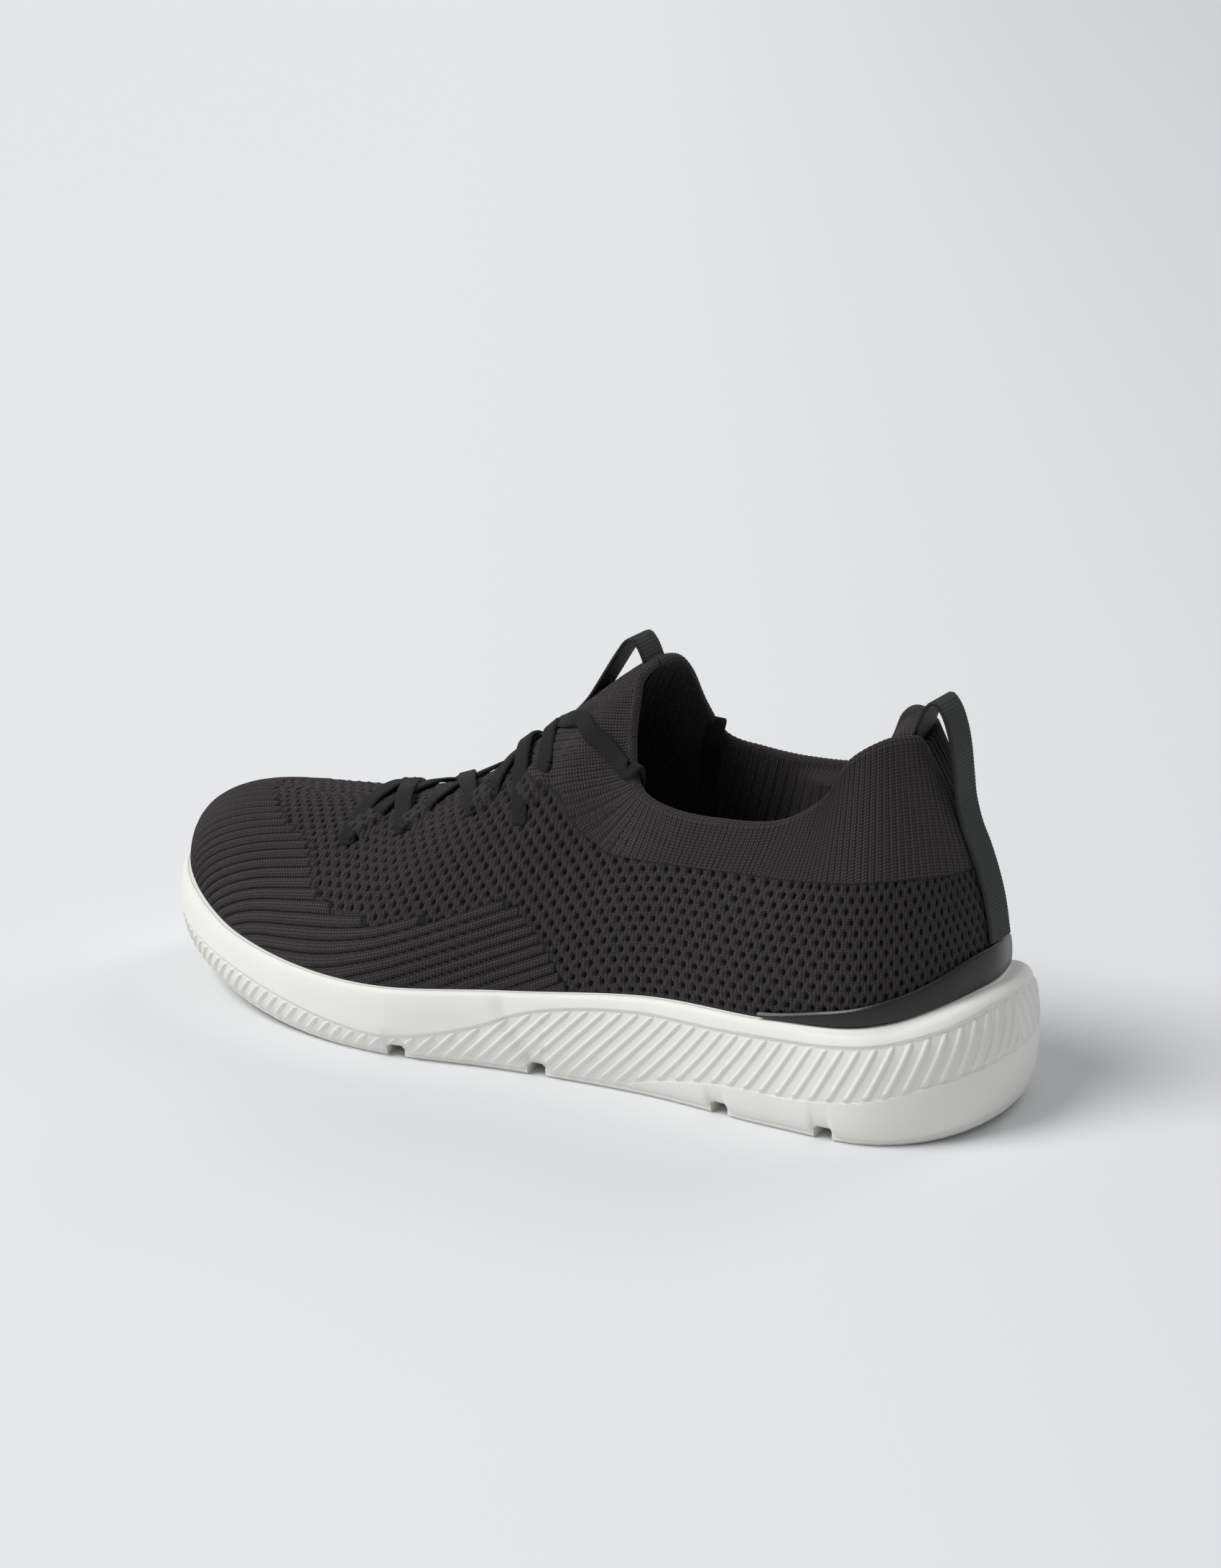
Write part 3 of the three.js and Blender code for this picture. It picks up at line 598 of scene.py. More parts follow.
    def quarters(self, whole: Patch, material: Material, kind: str,
                 stood: Sequence[tuple], seam: bool = False) -> None:
        """Makes a ring that goes once round the shoe as four pieces.

        Args:
            whole: the ring, its columns starting at the heel, first along the outer side.
            material: its material.
            kind: the start of each piece's name.
            stood: for each quarter, the CAD nodes that it stands for.
            seam: whether points that lie in one place are welded within each of the two quarters at the toe.
        """
        quarter = (whole.points.shape[1] - 1) // 4
        for k, end in enumerate(("heel_outer", "toe_outer", "toe_inner", "heel_inner")):
            name = f"{kind}_{end}"
            patch = whole.columns(k * quarter, (k + 1) * quarter)
            self.lay(name, patch, material, replaces=stood[k], weld=seam and k in (1, 2))

    def dress(
        self, piece: Object, material: Material,
        body: str | None = None, replaces: Sequence[str] = (),
    ) -> Object:
        """Gives a piece its material and its place on a body.

        Args:
            piece: the piece.
            material: its material.
            body: the body it rides on; without one its transform is baked into its mesh.
            replaces: the CAD nodes that it stands for.

        Returns:
            The piece.
        """
        piece.data.materials.clear()
        piece.data.materials.append(material)
        if body:
            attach(piece, body)
        else:
            self.bend.across(piece)
        if replaces:
            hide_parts(*replaces)
        self.made.append(piece.name)
        LOG.info("%s: %d faces", piece.name, len(piece.data.polygons))
        return piece


# ---- materials


@dataclass
class Signal:
    """A number in a node tree, so that what is done to numbers reads as sums."""

    nodes: "Nodes"
    socket: NodeSocket

    def _with(self, operation: str, other: object) -> "Signal":
        """This number and another, put together by a maths node."""
        return self.nodes.math(operation, self, other)

    __add__ = partialmethod(_with, "ADD")
    __sub__ = partialmethod(_with, "SUBTRACT")
    __mul__ = partialmethod(_with, "MULTIPLY")
    __truediv__ = partialmethod(_with, "DIVIDE")

    def __rsub__(self, other: object) -> "Signal":
        """A constant less this number."""
        return self.nodes.math("SUBTRACT", other, self)

    def __pow__(self, power: float) -> "Signal":
        """A power of this number, kept just above 0."""
        return self.nodes.math("POWER", self.nodes.math("MAXIMUM", self, 0.001), power)

    def wave(self) -> "Signal":
        """The size of a sine whose half turn is 1."""
        return self.nodes.math("ABSOLUTE", self.nodes.math("SINE", self * math.pi))

    def fraction(self) -> "Signal":
        """What is left over a whole number."""
        return self.nodes.math("FRACT", self)


class Nodes:
    """A short way to write a node tree."""

    def __init__(self, tree: NodeTree) -> None:
        """Starts on an empty tree."""
        self.tree = tree
        tree.nodes.clear()

    def add(self, kind: str, settings: dict | None = None, **inputs: object) -> Node:
        """A node of a kind, with settings, and inputs given as values or sockets."""
        node = self.tree.nodes.new(f"ShaderNode{kind}")
        for name, value in (settings or {}).items():
            setattr(node, name, value)
        for name, value in inputs.items():
            self.feed(node.inputs[name.replace("_", " ")], value)
        return node

    def feed(self, socket: NodeSocket, value: object) -> None:
        """Sets a socket, or links one to it."""
        value = value.socket if isinstance(value, Signal) else value
        if isinstance(value, NodeSocket):
            self.tree.links.new(value, socket)
        else:
            socket.default_value = value

    def number(self, node: Node, output: str | int = 0) -> Signal:
        """One of a node's results, as a number to reckon with."""
        return Signal(self, node.outputs[output])

    def math(self, operation: str, *values: object) -> Signal:
        """The result of a maths node."""
        node = self.add("Math", {"operation": operation})
        for socket, value in zip(node.inputs, values):
            self.feed(socket, value)
        return self.number(node)

    def blend(self, share: object, a: object, b: object) -> NodeSocket:
        """A mix of two colours."""
        node = self.add("Mix", {"data_type": "RGBA"})
        for k, value in ((0, share), (6, a), (7, b)):
            self.feed(node.inputs[k], value)
        return node.outputs[2]

    def noise(self, where: object, scale: object, detail: float = 2.0) -> Signal:
        """A noise texture's factor."""
        return self.number(self.add("TexNoise", Vector=where, Scale=scale, Detail=detail))

    def parts(self, vector: NodeSocket) -> list[Signal]:
        """A vector's three numbers."""
        node = self.add("SeparateXYZ", Vector=vector)
        return [self.number(node, k) for k in range(3)]

    def kept(self, attribute: str) -> Signal:
        """A number that the mesh carries."""
        return self.number(self.add("Attribute", {"attribute_name": attribute}), "Fac")


class Effect:
    """A shader node group that turns a place into a height and a second number.

    It gets the place as its first input, and a scale or a share as each of the others.
    """

    def __init__(self, name: str, where: str, shares: dict[str, float], second: str) -> None:
        """Makes the group with its sockets, ready for its nodes."""
        self.tree = bpy.data.node_groups.new(name, "ShaderNodeTree")
        self.second = second
        sockets = self.tree.interface
        sockets.new_socket(where, in_out="INPUT", socket_type="NodeSocketVector")
        for label, value in shares.items():
            socket = sockets.new_socket(label, in_out="INPUT", socket_type="NodeSocketFloat")
            socket.default_value = value
        for label in ("Height", second):
            sockets.new_socket(label, in_out="OUTPUT", socket_type="NodeSocketFloat")
        self.nodes = Nodes(self.tree)
        given = self.tree.nodes.new("NodeGroupInput")
        self.where = given.outputs[where]
        self.shares = [self.nodes.number(given, label) for label in shares]

    def finish(self, height: Signal, second: Signal) -> NodeTree:
        """Puts the two numbers out."""
        out = self.tree.nodes.new("NodeGroupOutput")
        self.nodes.feed(out.inputs["Height"], height)
        self.nodes.feed(out.inputs[self.second], second)
        return self.tree


def stitch_effect() -> NodeTree:
    """Knit stitches: each wale is two rows of slanted legs, in units of wales and courses."""
    effect = Effect("knit_stitches", "Wales", {"Slant": 0.8, "Uneven": 0.25}, "Yarn")
    n, (slant, uneven) = effect.nodes, effect.shares
    x, y, _ = n.parts(effect.where)
    shift = (n.noise(effect.where, 0.9, 3.0) - 0.5) * uneven
    across = x + shift
    lean = n.math("ABSOLUTE", across.fraction() - 0.5) * slant
    legs = (y + shift + lean).fraction()
    height = legs.wave() ** 0.6 * (across * 2).wave() ** 0.5
    return effect.finish(height, n.noise(effect.where, 7.0, 4.0))


def grain_effect() -> NodeTree:
    """A pebbled skin, as on leather, moulded foam and rubber."""
    effect = Effect("pebble_grain", "Where", {"Scale": 900.0, "Fine": 0.4}, "Mottle")
    n, (scale, fine) = effect.nodes, effect.shares
    cells = n.add("TexVoronoi", {"feature": "SMOOTH_F1"}, Vector=effect.where, Scale=scale)
    height = n.number(cells) + n.noise(effect.where, scale * 2.2, 5.0) * fine
    return effect.finish(height, n.noise(effect.where, 35.0, 6.0))


def weave_effect() -> NodeTree:
    """A woven tape: fine warp threads along it and ribs of weft across it, in millimetres."""
    effect = Effect("woven_tape", "Millimetres", {"Warp": 0.45, "Weft": 0.9}, "Thread")
    n, (warp, weft) = effect.nodes, effect.shares
    x, y, _ = n.parts(effect.where)
    thread = x / warp
    odd = n.math("FLOOR", thread) * 0.5
    over = n.math("SINE", (y / weft + odd) * (2 * math.pi))
    height = (over * 0.5 + 0.8) * thread.wave()
    return effect.finish(height, n.noise(effect.where, 2.4, 4.0))


@dataclass(frozen=True)
class Palette:
    """The colours of the shoe, linear."""

    # painted shade: the knit's colour where it lies low or carries the painted shade mark
    knit_painted_shade: tuple = (0.0026, 0.0022, 0.0025, 1)
    knit: tuple = (0.0290, 0.0232, 0.0256, 1)
    # lighter flecks on the raised yarn: the yarn's own heathered tone, and a painted highlight since they
    # show only where the yarn stands up
    knit_fleck_and_highlight: tuple = (0.115, 0.094, 0.101, 1)
    lace: tuple = (0.0054, 0.0056, 0.0058, 1)
    # lighter lace on the crowns of its threads: painted highlight with random fleck
    lace_fleck_and_highlight: tuple = (0.0135, 0.0141, 0.0145, 1)
    tape: tuple = (0.0048, 0.0052, 0.0051, 1)
    # lighter webbing on the crowns of its threads: painted highlight with random fleck
    tape_fleck_and_highlight: tuple = (0.0140, 0.0152, 0.0150, 1)
    leather: tuple = (0.0032, 0.0032, 0.0034, 1)
    leather_light: tuple = (0.0068, 0.0066, 0.0066, 1)
    foam: tuple = (0.85, 0.845, 0.805, 1)
    # a darker foam: random mottle on the foam and the tread rubber, and painted shade in the sole's recesses
    foam_mottle_and_painted_shade: tuple = (0.76, 0.75, 0.705, 1)
    rubber: tuple = (0.82, 0.815, 0.775, 1)
    board: tuple = (0.26, 0.25, 0.23, 1)
    padding: tuple = (0.03, 0.03, 0.033, 1)
    plastic: tuple = (0.006, 0.006, 0.006, 1)


@dataclass(frozen=True)
class Finish:
    """What a surface's shader is set to all over."""

    name: str
    roughness: float
    sheen: float = 0.0
    coat: float = 0.0
    specular: float = 0.5
    bump: float = 0.3
    bump_mm: float = 0.2


class Finishes:
    """Every material of the shoe, made once."""

    def __init__(self, palette: Palette) -> None:
        """Builds the shared effects, then the materials."""
        self.palette = palette
        self.stitches = stitch_effect()
        self.grain = grain_effect()
        self.weave = weave_effect()
        self.knit = self._knit(Finish("knit", 0.9, sheen=0.06, specular=0.35, bump=1.0, bump_mm=0.5))
        # the lining: the knit's colours dimmed to 0.55, a shaded copy painted for the pieces inside the shoe
        self.lining = self._knit(
            Finish("lining_knit", 0.95, sheen=0.03, specular=0.2, bump=0.8, bump_mm=0.3), dim=0.55
        )
        self.lace = self._woven(
            Finish("lace_weave", 0.85, sheen=0.04, specular=0.3, bump=0.8, bump_mm=0.16),
            palette.lace, palette.lace_fleck_and_highlight, warp=0.62, weft=1.15,
        )
        self.tape = self._woven(
            Finish("webbing_weave", 0.6, sheen=0.03, specular=0.4, bump=0.5, bump_mm=0.1),
            palette.tape, palette.tape_fleck_and_highlight, warp=0.4, weft=0.55,
        )
        self.leather = self._grained(
            Finish("leather", 0.42, coat=0.1, specular=0.5, bump=0.35, bump_mm=0.12),
            palette.leather, palette.leather_light, 1300,
        )
        self.foam = self._grained(
            Finish("foam_skin", 0.56, specular=0.4, bump=0.16, bump_mm=0.14),
            palette.foam, palette.foam_mottle_and_painted_shade, 850, painted_shade_mask=True,
        )
        self.rubber = self._grained(
            Finish("tread_rubber", 0.5, specular=0.45, bump=0.25, bump_mm=0.1),
            palette.rubber, palette.foam_mottle_and_painted_shade, 1500,
        )
        self.board = self._grained(
            Finish("fibre_board", 0.95, bump=0.6, bump_mm=0.1), palette.board, palette.padding, 500
        )
        self.padding = self._grained(
            Finish("open_foam", 0.98, bump=0.8, bump_mm=0.3), palette.padding, palette.knit, 700
        )
        self.plastic = self._grained(
            Finish("aglet_plastic", 0.25, coat=0.5, bump=0.05, bump_mm=0.05),
            palette.plastic, palette.leather, 600,
        )

    def _start(self, finish: Finish) -> tuple[Material, Nodes, Node]:
        """A material with its shader set to a finish."""
        material = bpy.data.materials.new(finish.name)
        material.use_nodes = True
        nodes = Nodes(material.node_tree)
        shader = nodes.add("BsdfPrincipled", Roughness=finish.roughness,
                           Sheen_Weight=finish.sheen, Sheen_Roughness=0.4, Coat_Weight=finish.coat,
                           Coat_Roughness=0.35, Specular_IOR_Level=finish.specular)
        nodes.add("OutputMaterial", Surface=shader.outputs[0])
        return material, nodes, shader

    def _bump(self, nodes: Nodes, shader: Node, finish: Finish, height: object) -> None:
        """Feeds a height to the shader's normal."""
        bump = nodes.add("Bump", Height=height, Strength=finish.bump,
                         Distance=finish.bump_mm * MM)
        nodes.feed(shader.inputs["Normal"], bump.outputs[0])

    def _knit(self, finish: Finish, dim: float = 1.0) -> Material:
        """Knitted yarn, with painted shade in the low places between its ribs and clusters, and lighter
        flecks on its raised yarn that are partly heathered yarn and partly a painted highlight.
        """
        material, nodes, shader = self._start(finish)
        uv = nodes.add("UVMap", {"uv_map": "Knit"})
        stitch = nodes.add("Group", {"node_tree": self.stitches}, Wales=uv.outputs[0])
        height = nodes.number(stitch, "Height")
        # painted shade: lit falls to 0 where the stitches lie low and where the mesh's mark is set, and the
        # colour goes to the shade colour there
        lit = height * (1.0 - nodes.kept("painted_shade_mask"))
        # heather noise shown only on the raised yarn: partly the yarn's own tone, partly painted highlight
        yarn = nodes.number(stitch, "Yarn") * lit
        dark, base, light = (
            (c[0] * dim, c[1] * dim, c[2] * dim, 1)
            for c in (self.palette.knit_painted_shade, self.palette.knit, self.palette.knit_fleck_and_highlight)
        )
        colour = nodes.blend(yarn * 0.85, nodes.blend(lit, dark, base), light)
        nodes.feed(shader.inputs["Base Color"], colour)
        self._bump(nodes, shader, finish, height)
        return material

    def _woven(
        self, finish: Finish, dark: tuple, light: tuple, warp: float, weft: float
    ) -> Material:
        """A woven tape, its colour lighter on the crowns of the threads and dark between them: painted
        highlight and shade, broken up by random fleck.
        """
        material, nodes, shader = self._start(finish)
        uv = nodes.add("UVMap", {"uv_map": "Knit"})
        weave = nodes.add("Group", {"node_tree": self.weave}, Millimetres=uv.outputs[0],
                          Warp=warp, Weft=weft)
        height = nodes.number(weave, "Height")
        # painted highlight and shade: lighter where the threads stand up, darker between them, times a random
        # fleck
        share = height * nodes.number(weave, "Thread")
        nodes.feed(shader.inputs["Base Color"], nodes.blend(share, dark, light))
        self._bump(nodes, shader, finish, height)
        return material

    def _grained(
        self, finish: Finish, base: tuple, other: tuple, scale: float, painted_shade_mask: bool = False
    ) -> Material:
        """A moulded or pressed surface with a fine grain."""
        material, nodes, shader = self._start(finish)
        where = nodes.add("TexCoord").outputs["Object"]
        grain = nodes.add("Group", {"node_tree": self.grain}, Where=where, Scale=scale)
        mottle = nodes.number(grain, "Mottle")
        share = mottle * 0.5
        # with the flag set, the mesh's painted shade mark also darkens the colour
        if painted_shade_mask:
            share = nodes.math("MAXIMUM", share, nodes.kept("painted_shade_mask"))
        nodes.feed(shader.inputs["Base Color"], nodes.blend(share, base, other))
        nodes.feed(shader.inputs["Roughness"], mottle * 0.16 + (finish.roughness - 0.08))
        self._bump(nodes, shader, finish, nodes.number(grain, "Height"))
        return material


# ---- the upper

TUNNELS = {
    Side.OUTER: (((216, 26), (211, 16)), ((197, 25), (192, 18)), ((170, 28), (163.5, 25)),
                 ((151, 32), (146, 26))),
    Side.INNER: (((222, -20), (217, -11)), ((205, -24), (200, -17)), ((180, -27), (174, -23)),
                 ((161, -30), (156, -25))),
}


@dataclass
class Surface:
    """The upper's smooth face as seen from above, for what lies on it."""

    last: Last

    def __post_init__(self) -> None:
        """Builds the tree that is asked where the face is."""
        w, v = np.meshgrid(np.linspace(0, 1, 385), np.linspace(0, 1, 65))
        points = self.last.face(w, v)
        bm = bmesh.new()
        bmesh.ops.create_grid(bm, x_segments=384, y_segments=64, size=1)
        for vert, spot in zip(bm.verts, points.reshape(-1, 3)):
            vert.co = spot
        self.tree = BVHTree.FromBMesh(bm)
        bm.free()

    def on_top(self, x: float, y: float, lift: float) -> tuple[Array, Array]:
        """A point of the face at x, y, raised along its normal, and that normal."""
        spots = []
        for dx, dy in ((0, 0), (2.5, 0), (-2.5, 0), (0, 2.5), (0, -2.5)):
            hit = self.tree.ray_cast(Vector((x + dx, y + dy, 300)), Vector((0, 0, -1)))
            spots.append(np.array(hit[0]))
        middle, ahead, behind, left, right = spots
        normal = unit(np.cross(ahead - behind, left - right))
        return middle + normal * lift, normal


@dataclass
class Upper:
    """The knitted upper: its outer face, its rim and its lining."""

    last: Last
    surface: Surface
    finishes: Finishes
    columns: int = 1536
    rows: int = 176
    level: float = 0.5
    rib_pitch: float = 3.6
    wale: float = 1.7
    course: float = 0.95
    cluster_run: float = 3.9
    cluster_row: float = 3.2
    mesh_stitch: float = 1.2
    rib_wale: float = 1.8
    thickness: float = 2.9
    tunnel_height: float = 2.35
    rib_top: tuple = (
        (127, 0), (136, 13), (142, 21), (149, 27), (175, 22), (192, 19), (210, 20), (220, 24),
        (230, 36), (247, 40), (266, 50), (270, 70),
    )
    collar_low: tuple = (
        (10, 75), (27, 76), (47, 74.6), (58, 73.3), (118, 70), (124, 71.7), (134, 78.4),
        (138.5, 85), (149, 87.2), (154, 92), (160, 100), (170, 130),
    )

    def __post_init__(self) -> None:
        """Works out the whole outer face at once, so that its pieces meet."""
        w = np.linspace(0, 1, self.columns + 1)
        v = np.linspace(0, 1, self.rows)
        self.w, self.v = np.meshgrid(w, v)
        self.u = self.last.u_of(self.w)
        self.points = self.last.face(self.w, self.v)
        self.out = self.last.normal(self.w, self.v)
        self._measure_rim()
        self._measure_rows()
        self._draw()

    def _measure_rim(self) -> None:
        """Arc length along the rim from the back of the heel, on each side."""
        u = np.linspace(0, self.last.tongue_u, 400)
        self.rim_table = {}
        for side in Side:
            run = run_of(self.last.rim_line(side, u))
            self.rim_table[side] = (u, run - run[-1])

    def _measure_rows(self) -> None:
        """Coordinates for the stitches: up the wall, along the shoe, and along the rim."""
        p, u, outer = self.points, self.u, np.mod(self.w, 1.0) <= 0.5
        x, z = p[..., 0], p[..., 2]
        self.up = run_of(p)
        top = self.up[-1:]
        spots = np.linspace(-20, 320, 1400)
        lean = 0.34 * ramp(95, 140, spots)
        fall = np.concatenate([[0], np.cumsum((lean[1:] + lean[:-1]) / 2 * np.diff(spots))])
        fall -= np.interp(235, spots, fall)
        sections = self._toe_sections()
        whole = sections[Side.OUTER][1][-2]
        angle = self._ridge_angle(p)
        from_ridge = np.where(outer, *(np.interp(angle, *sections[side]) for side in Side))
        wall = self.up * mix(1.0, whole / top, ramp(190, 225, x)) + np.interp(x, spots, fall)
        height = mix(wall, whole - 0.95 * from_ridge, ramp(203, 257, x))
        other = height[-1:, ::-1]
        match = (other - height[-1:]) / 2 * ramp(0.5, self.last.tongue_u, u[-1:])
        self.height = height + match * ramp(0.5, 1, self.v)
        offset = float(self.last.run_at(np.array(0.14))) - float(self.last.plan_at(0.14, 0)[0])
        run = mix(self.last.run_at(self.w), x + offset, ramp(0.22, 0.34, u))
        self.length = run + (60 - z) * ramp(245, 285, x)
        ring = np.where(outer, *(np.interp(u, *self.rim_table[s]) for s in Side))
        near, gap = self._nearest_rim(outer)
        share = ramp(0.36, 0.44, u)
        self.ring = mix(ring, near, share)
        self.from_rim = mix(top - self.up, gap, share)

    def _ridge_angle(self, points: Array) -> Array:
        """The angle round the toe's ridge, 0 on top of it."""
        above = points[..., 2] + 0.3 * (points[..., 0] - 235) - 10
        return np.arctan2(np.abs(points[..., 1]), above)

    def _toe_sections(self) -> dict:
        """The way down the toe on each side, as angles and runs from its ridge."""
        sections = {}
        for side, at in ((Side.OUTER, 0.41), (Side.INNER, 0.59)):
            line = self.last.face(np.full(120, at), np.linspace(0, 1, 120))[::-1]
            down = run_of(line)
            turn = np.maximum.accumulate(self._ridge_angle(line))
            down = down * (sections[Side.OUTER][1][-2] / down[-1] if sections else 1.0)
            past = 0.5 * (down[-1] - down[-9]) / (turn[-1] - turn[-9])
            sections[side] = (np.append(turn, turn[-1] + 0.5), np.append(down, down[-1] + past))
        return sections

    def _nearest_rim(self, outer: Array) -> tuple[Array, Array]:
        """The nearest place on the rim, as a run along it, and how far away that is."""
        run, gap = np.zeros_like(self.u), np.zeros_like(self.u)
        for side in Side:
            u, runs = self.rim_table[side]
            rim = self.last.rim_line(side, u)
            ahead = unit(np.gradient(rim, axis=0))
            mine = (outer == (side is Side.OUTER)) & (self.u > 0.34) & (self.u < 0.72)
            spots = self.points[mine]
            found, away = np.empty(len(spots)), np.empty(len(spots))
            for k in range(0, len(spots), 4000):
                part = spots[k : k + 4000]
                far = np.linalg.norm(part[:, None] - rim[None], axis=-1)
                best = np.argmin(far, axis=1)
                step = np.sum((part - rim[best]) * ahead[best], -1)
                found[k : k + 4000] = runs[best] + np.clip(step, -0.6, 0.6) * (best < len(u) - 1)
                away[k : k + 4000] = far[np.arange(len(part)), best]
            run[mine], gap[mine] = found, away
        return run, gap

    def _draw(self) -> None:
        """The stitches' relief, which stitch is where, and the painted shade in their recesses."""
        x, z = self.points[..., 0], self.points[..., 2]
        row, run = self.height, self.length
        middle = (np.floor(row / self.rib_pitch) + 0.5) * self.rib_pitch
        off = (row - middle) / (self.rib_pitch / 2)
        rib = 1.2 * (1 - np.abs(off) ** 3.5) - 0.22 * np.exp(-((off / 0.16) ** 2)) - 0.15
        round_, up = (math.pi * run / self.cluster_run, math.pi * row / self.cluster_row)
        wave = np.cos(2 * round_) * np.cos(up)
        lumps = np.cos(4 * round_) * np.cos(2 * up)
        hole = ramp(-0.42, -0.85, wave)
        mesh = 0.3 + 0.5 * (0.5 + 0.5 * wave) + 0.14 * lumps - 0.95 * hole
        wale = 0.6 + 0.32 * np.abs(np.cos(math.pi * self.ring / self.wale))
        edge = along(self.rib_top)(x) - (self.up + middle - row)
        in_rib = ramp(-0.45, 0.45, edge) * (x > 126)
        in_collar = ramp(-0.35, 0.35, z - along(self.collar_low)(x)) * ramp(172, 160, x)
        relief = mix(mix(mesh, rib, in_rib), wale, in_collar)
        # painted shade: darker in the mesh knit's holes and in the grooves between ribs and wales; the loop
        # below also darkens a band along the edges of the rib and collar zones
        deep = mix(mix(np.clip(hole + 0.3 - 0.45 * (mesh - 0.3), 0, 1), np.abs(off) ** 5, in_rib),
                   0.5 - 0.45 * (wale - 0.6) / 0.32, in_collar)
        for share in (in_rib, in_collar):
            deep = np.maximum(deep, 0.9 * ramp(0.02, 0.3, share) * ramp(0.98, 0.7, share))
        foot = ramp(0, 1.6, self.up)
        raised = self._raise_tunnels()
        self.relief = (relief - self.level) * foot * (1 - 0.35 * ramp(0, 1, raised)) + raised
        self.deep = np.clip(deep, 0, 1)
        uv = np.where((in_rib > 0.5)[..., None], np.stack([row / self.rib_wale, run], -1),
                      np.stack([row, run], -1) / self.mesh_stitch)
        rim_uv = np.stack([self.ring / self.wale, self.from_rim / self.course], -1)
        self.uv = np.where((in_collar > 0.5)[..., None], rim_uv, uv)
        self.face = self.points + self.out * self.relief[..., None]
        self.facing = self._normals(self.face)

    def _raise_tunnels(self) -> Array:
        """How far the knit stands up over the lace where the lace runs through it."""
        raised = np.zeros_like(self.u)
        for ends in (e for side in Side for e in TUNNELS[side]):
            a, b = (self.surface.on_top(*spot, 0)[0] for spot in ends)
            ahead = unit(b - a)
            away = self.points - (a + b) / 2
            down = np.sum(away * ahead, -1)
            aside = np.sqrt(np.maximum(np.sum(away * away, -1) - down**2, 0))
            half = np.linalg.norm(b - a) * 0.36
            bump = ramp(half + 0.9, half - 0.1, np.abs(down)) * ramp(6.2, 2.6, aside)
            raised = np.maximum(raised, self.tunnel_height * bump)
        return raised

    def _normals(self, points: Array) -> Array:
        """Outward normals of the relief, matched where the two sides meet."""
        up = np.gradient(points, axis=0)
        round_ = np.empty_like(points)
        round_[:, 1:-1] = points[:, 2:] - points[:, :-2]
        round_[:, 0] = round_[:, -1] = points[:, 1] - points[:, -2]
        normal = np.cross(up, round_)
        wrong = np.sum(normal * self.out, -1) < 0
        normal = unit(np.where(wrong[..., None], -normal, normal))
        small = np.linalg.norm(round_, axis=-1) < 0.02
        normal = np.where(small[..., None], self.out, normal)
        top = normal[-1]
        met = unit(top + top[::-1])
        free = (self.u[-1] < self.last.tongue_u - 0.001)[:, None]
        normal[-1] = np.where(free, top, met)
        return normal

    def build(self, shop: Workshop) -> None:
        """Makes every piece of the upper."""
        whole = Patch(self.face, self.uv, {"painted_shade_mask": self.deep}, self.facing)
        shop.quarters(whole, self.finishes.knit, "upper_knit",
                      (("upper_rear",), ("upper_toe", "upper_bend"), (), ()), seam=True)
        self._line_mouth(shop)
        self._line_vamp(shop)

    def _depth(self, w: Array, v: Array) -> Array:
        """How deep the lining lies under the outer face: deeper over the padding."""
        side = np.abs(np.mod(w + 0.5, 1.0) - 0.5)
        pad = ramp(0.188, 0.165, side) * ramp(0.47, 0.53, v) * ramp(0.998, 0.94, v)
        stiff = ramp(0.13, 0.105, side) * ramp(0.56, 0.5, v)
        return self.thickness + np.maximum(4.1 * pad, 2.5 * stiff)

    def _line_mouth(self, shop: Workshop) -> None:
        """The rounded rim and, down from it, the lining of the collar."""
        reach = int(round(self.columns * self.last.tongue_u / 2))
        pick = np.arange(-reach, reach + 1)
        w = np.broadcast_to(pick / self.columns, (1, len(pick)))
        index = np.mod(pick, self.columns)
        edge, out = self.points[-1, index][None], self.out[-1, index][None]
        below = self.points[-2, index][None]
        lift = unit(edge - below - out * np.sum((edge - below) * out, -1, keepdims=True))
        relief = self.relief[-1, index][None]
        turn = np.linspace(0, math.pi, 13)[:, None]
        radius = (self.thickness + relief) / 2
        middle = edge - out * (radius - relief)[..., None]
        ring = middle + out * (np.cos(turn) * radius)[..., None]
        ring = ring + lift * (np.sin(turn) * (radius + 0.35))[..., None]
        heights = np.concatenate([np.linspace(0.985, 0.5, 34), np.linspace(0.485, 0.02, 18)])[:, None]
        w_all = np.broadcast_to(w, (len(heights), w.shape[1]))
        v_all = np.broadcast_to(heights, w_all.shape)
        ribs = 0.14 * np.cos(2 * math.pi * self.ring[-1, index] / (2 * self.wale))[None] * ramp(1, 0.9, v_all)
        wall = self.last.skin(w_all, v_all, self._depth(w_all, v_all) + ribs)
        points = np.concatenate([ring, wall])
        run = run_of(points)
        rim = np.broadcast_to(self.ring[-1, index] / self.wale, run.shape)
        # painted shade, even over the whole collar lining
        deep = np.full(run.shape, 0.12)
        inward = facing(points, -self.out[-1, index][None], turn.size + 4)
        patch = Patch(points, np.stack([rim, run / self.course], -1), {"painted_shade_mask": deep}, inward)
        shop.lay("collar_lining", patch, self.finishes.knit, REAR, weld=True)

    def _line_vamp(self, shop: Workshop) -> None:
        """The lining from the front of the mouth to the toe."""
        w = np.linspace(self.last.tongue_u / 2, 1 - self.last.tongue_u / 2, 201)
        w, v = np.meshgrid(w, np.linspace(0.02, 0.999, 40))
        points = self.last.skin(w, v, np.full(w.shape, self.thickness))
        uv = np.stack([w * 400, v * 70], -1)
        # painted shade, even over the whole vamp lining
        patch = Patch(points, uv, {"painted_shade_mask": np.full(w.shape, 0.3)}, -self.last.normal(w, v))
        shop.lay("vamp_lining", patch, self.finishes.lining)


# ---- the sole


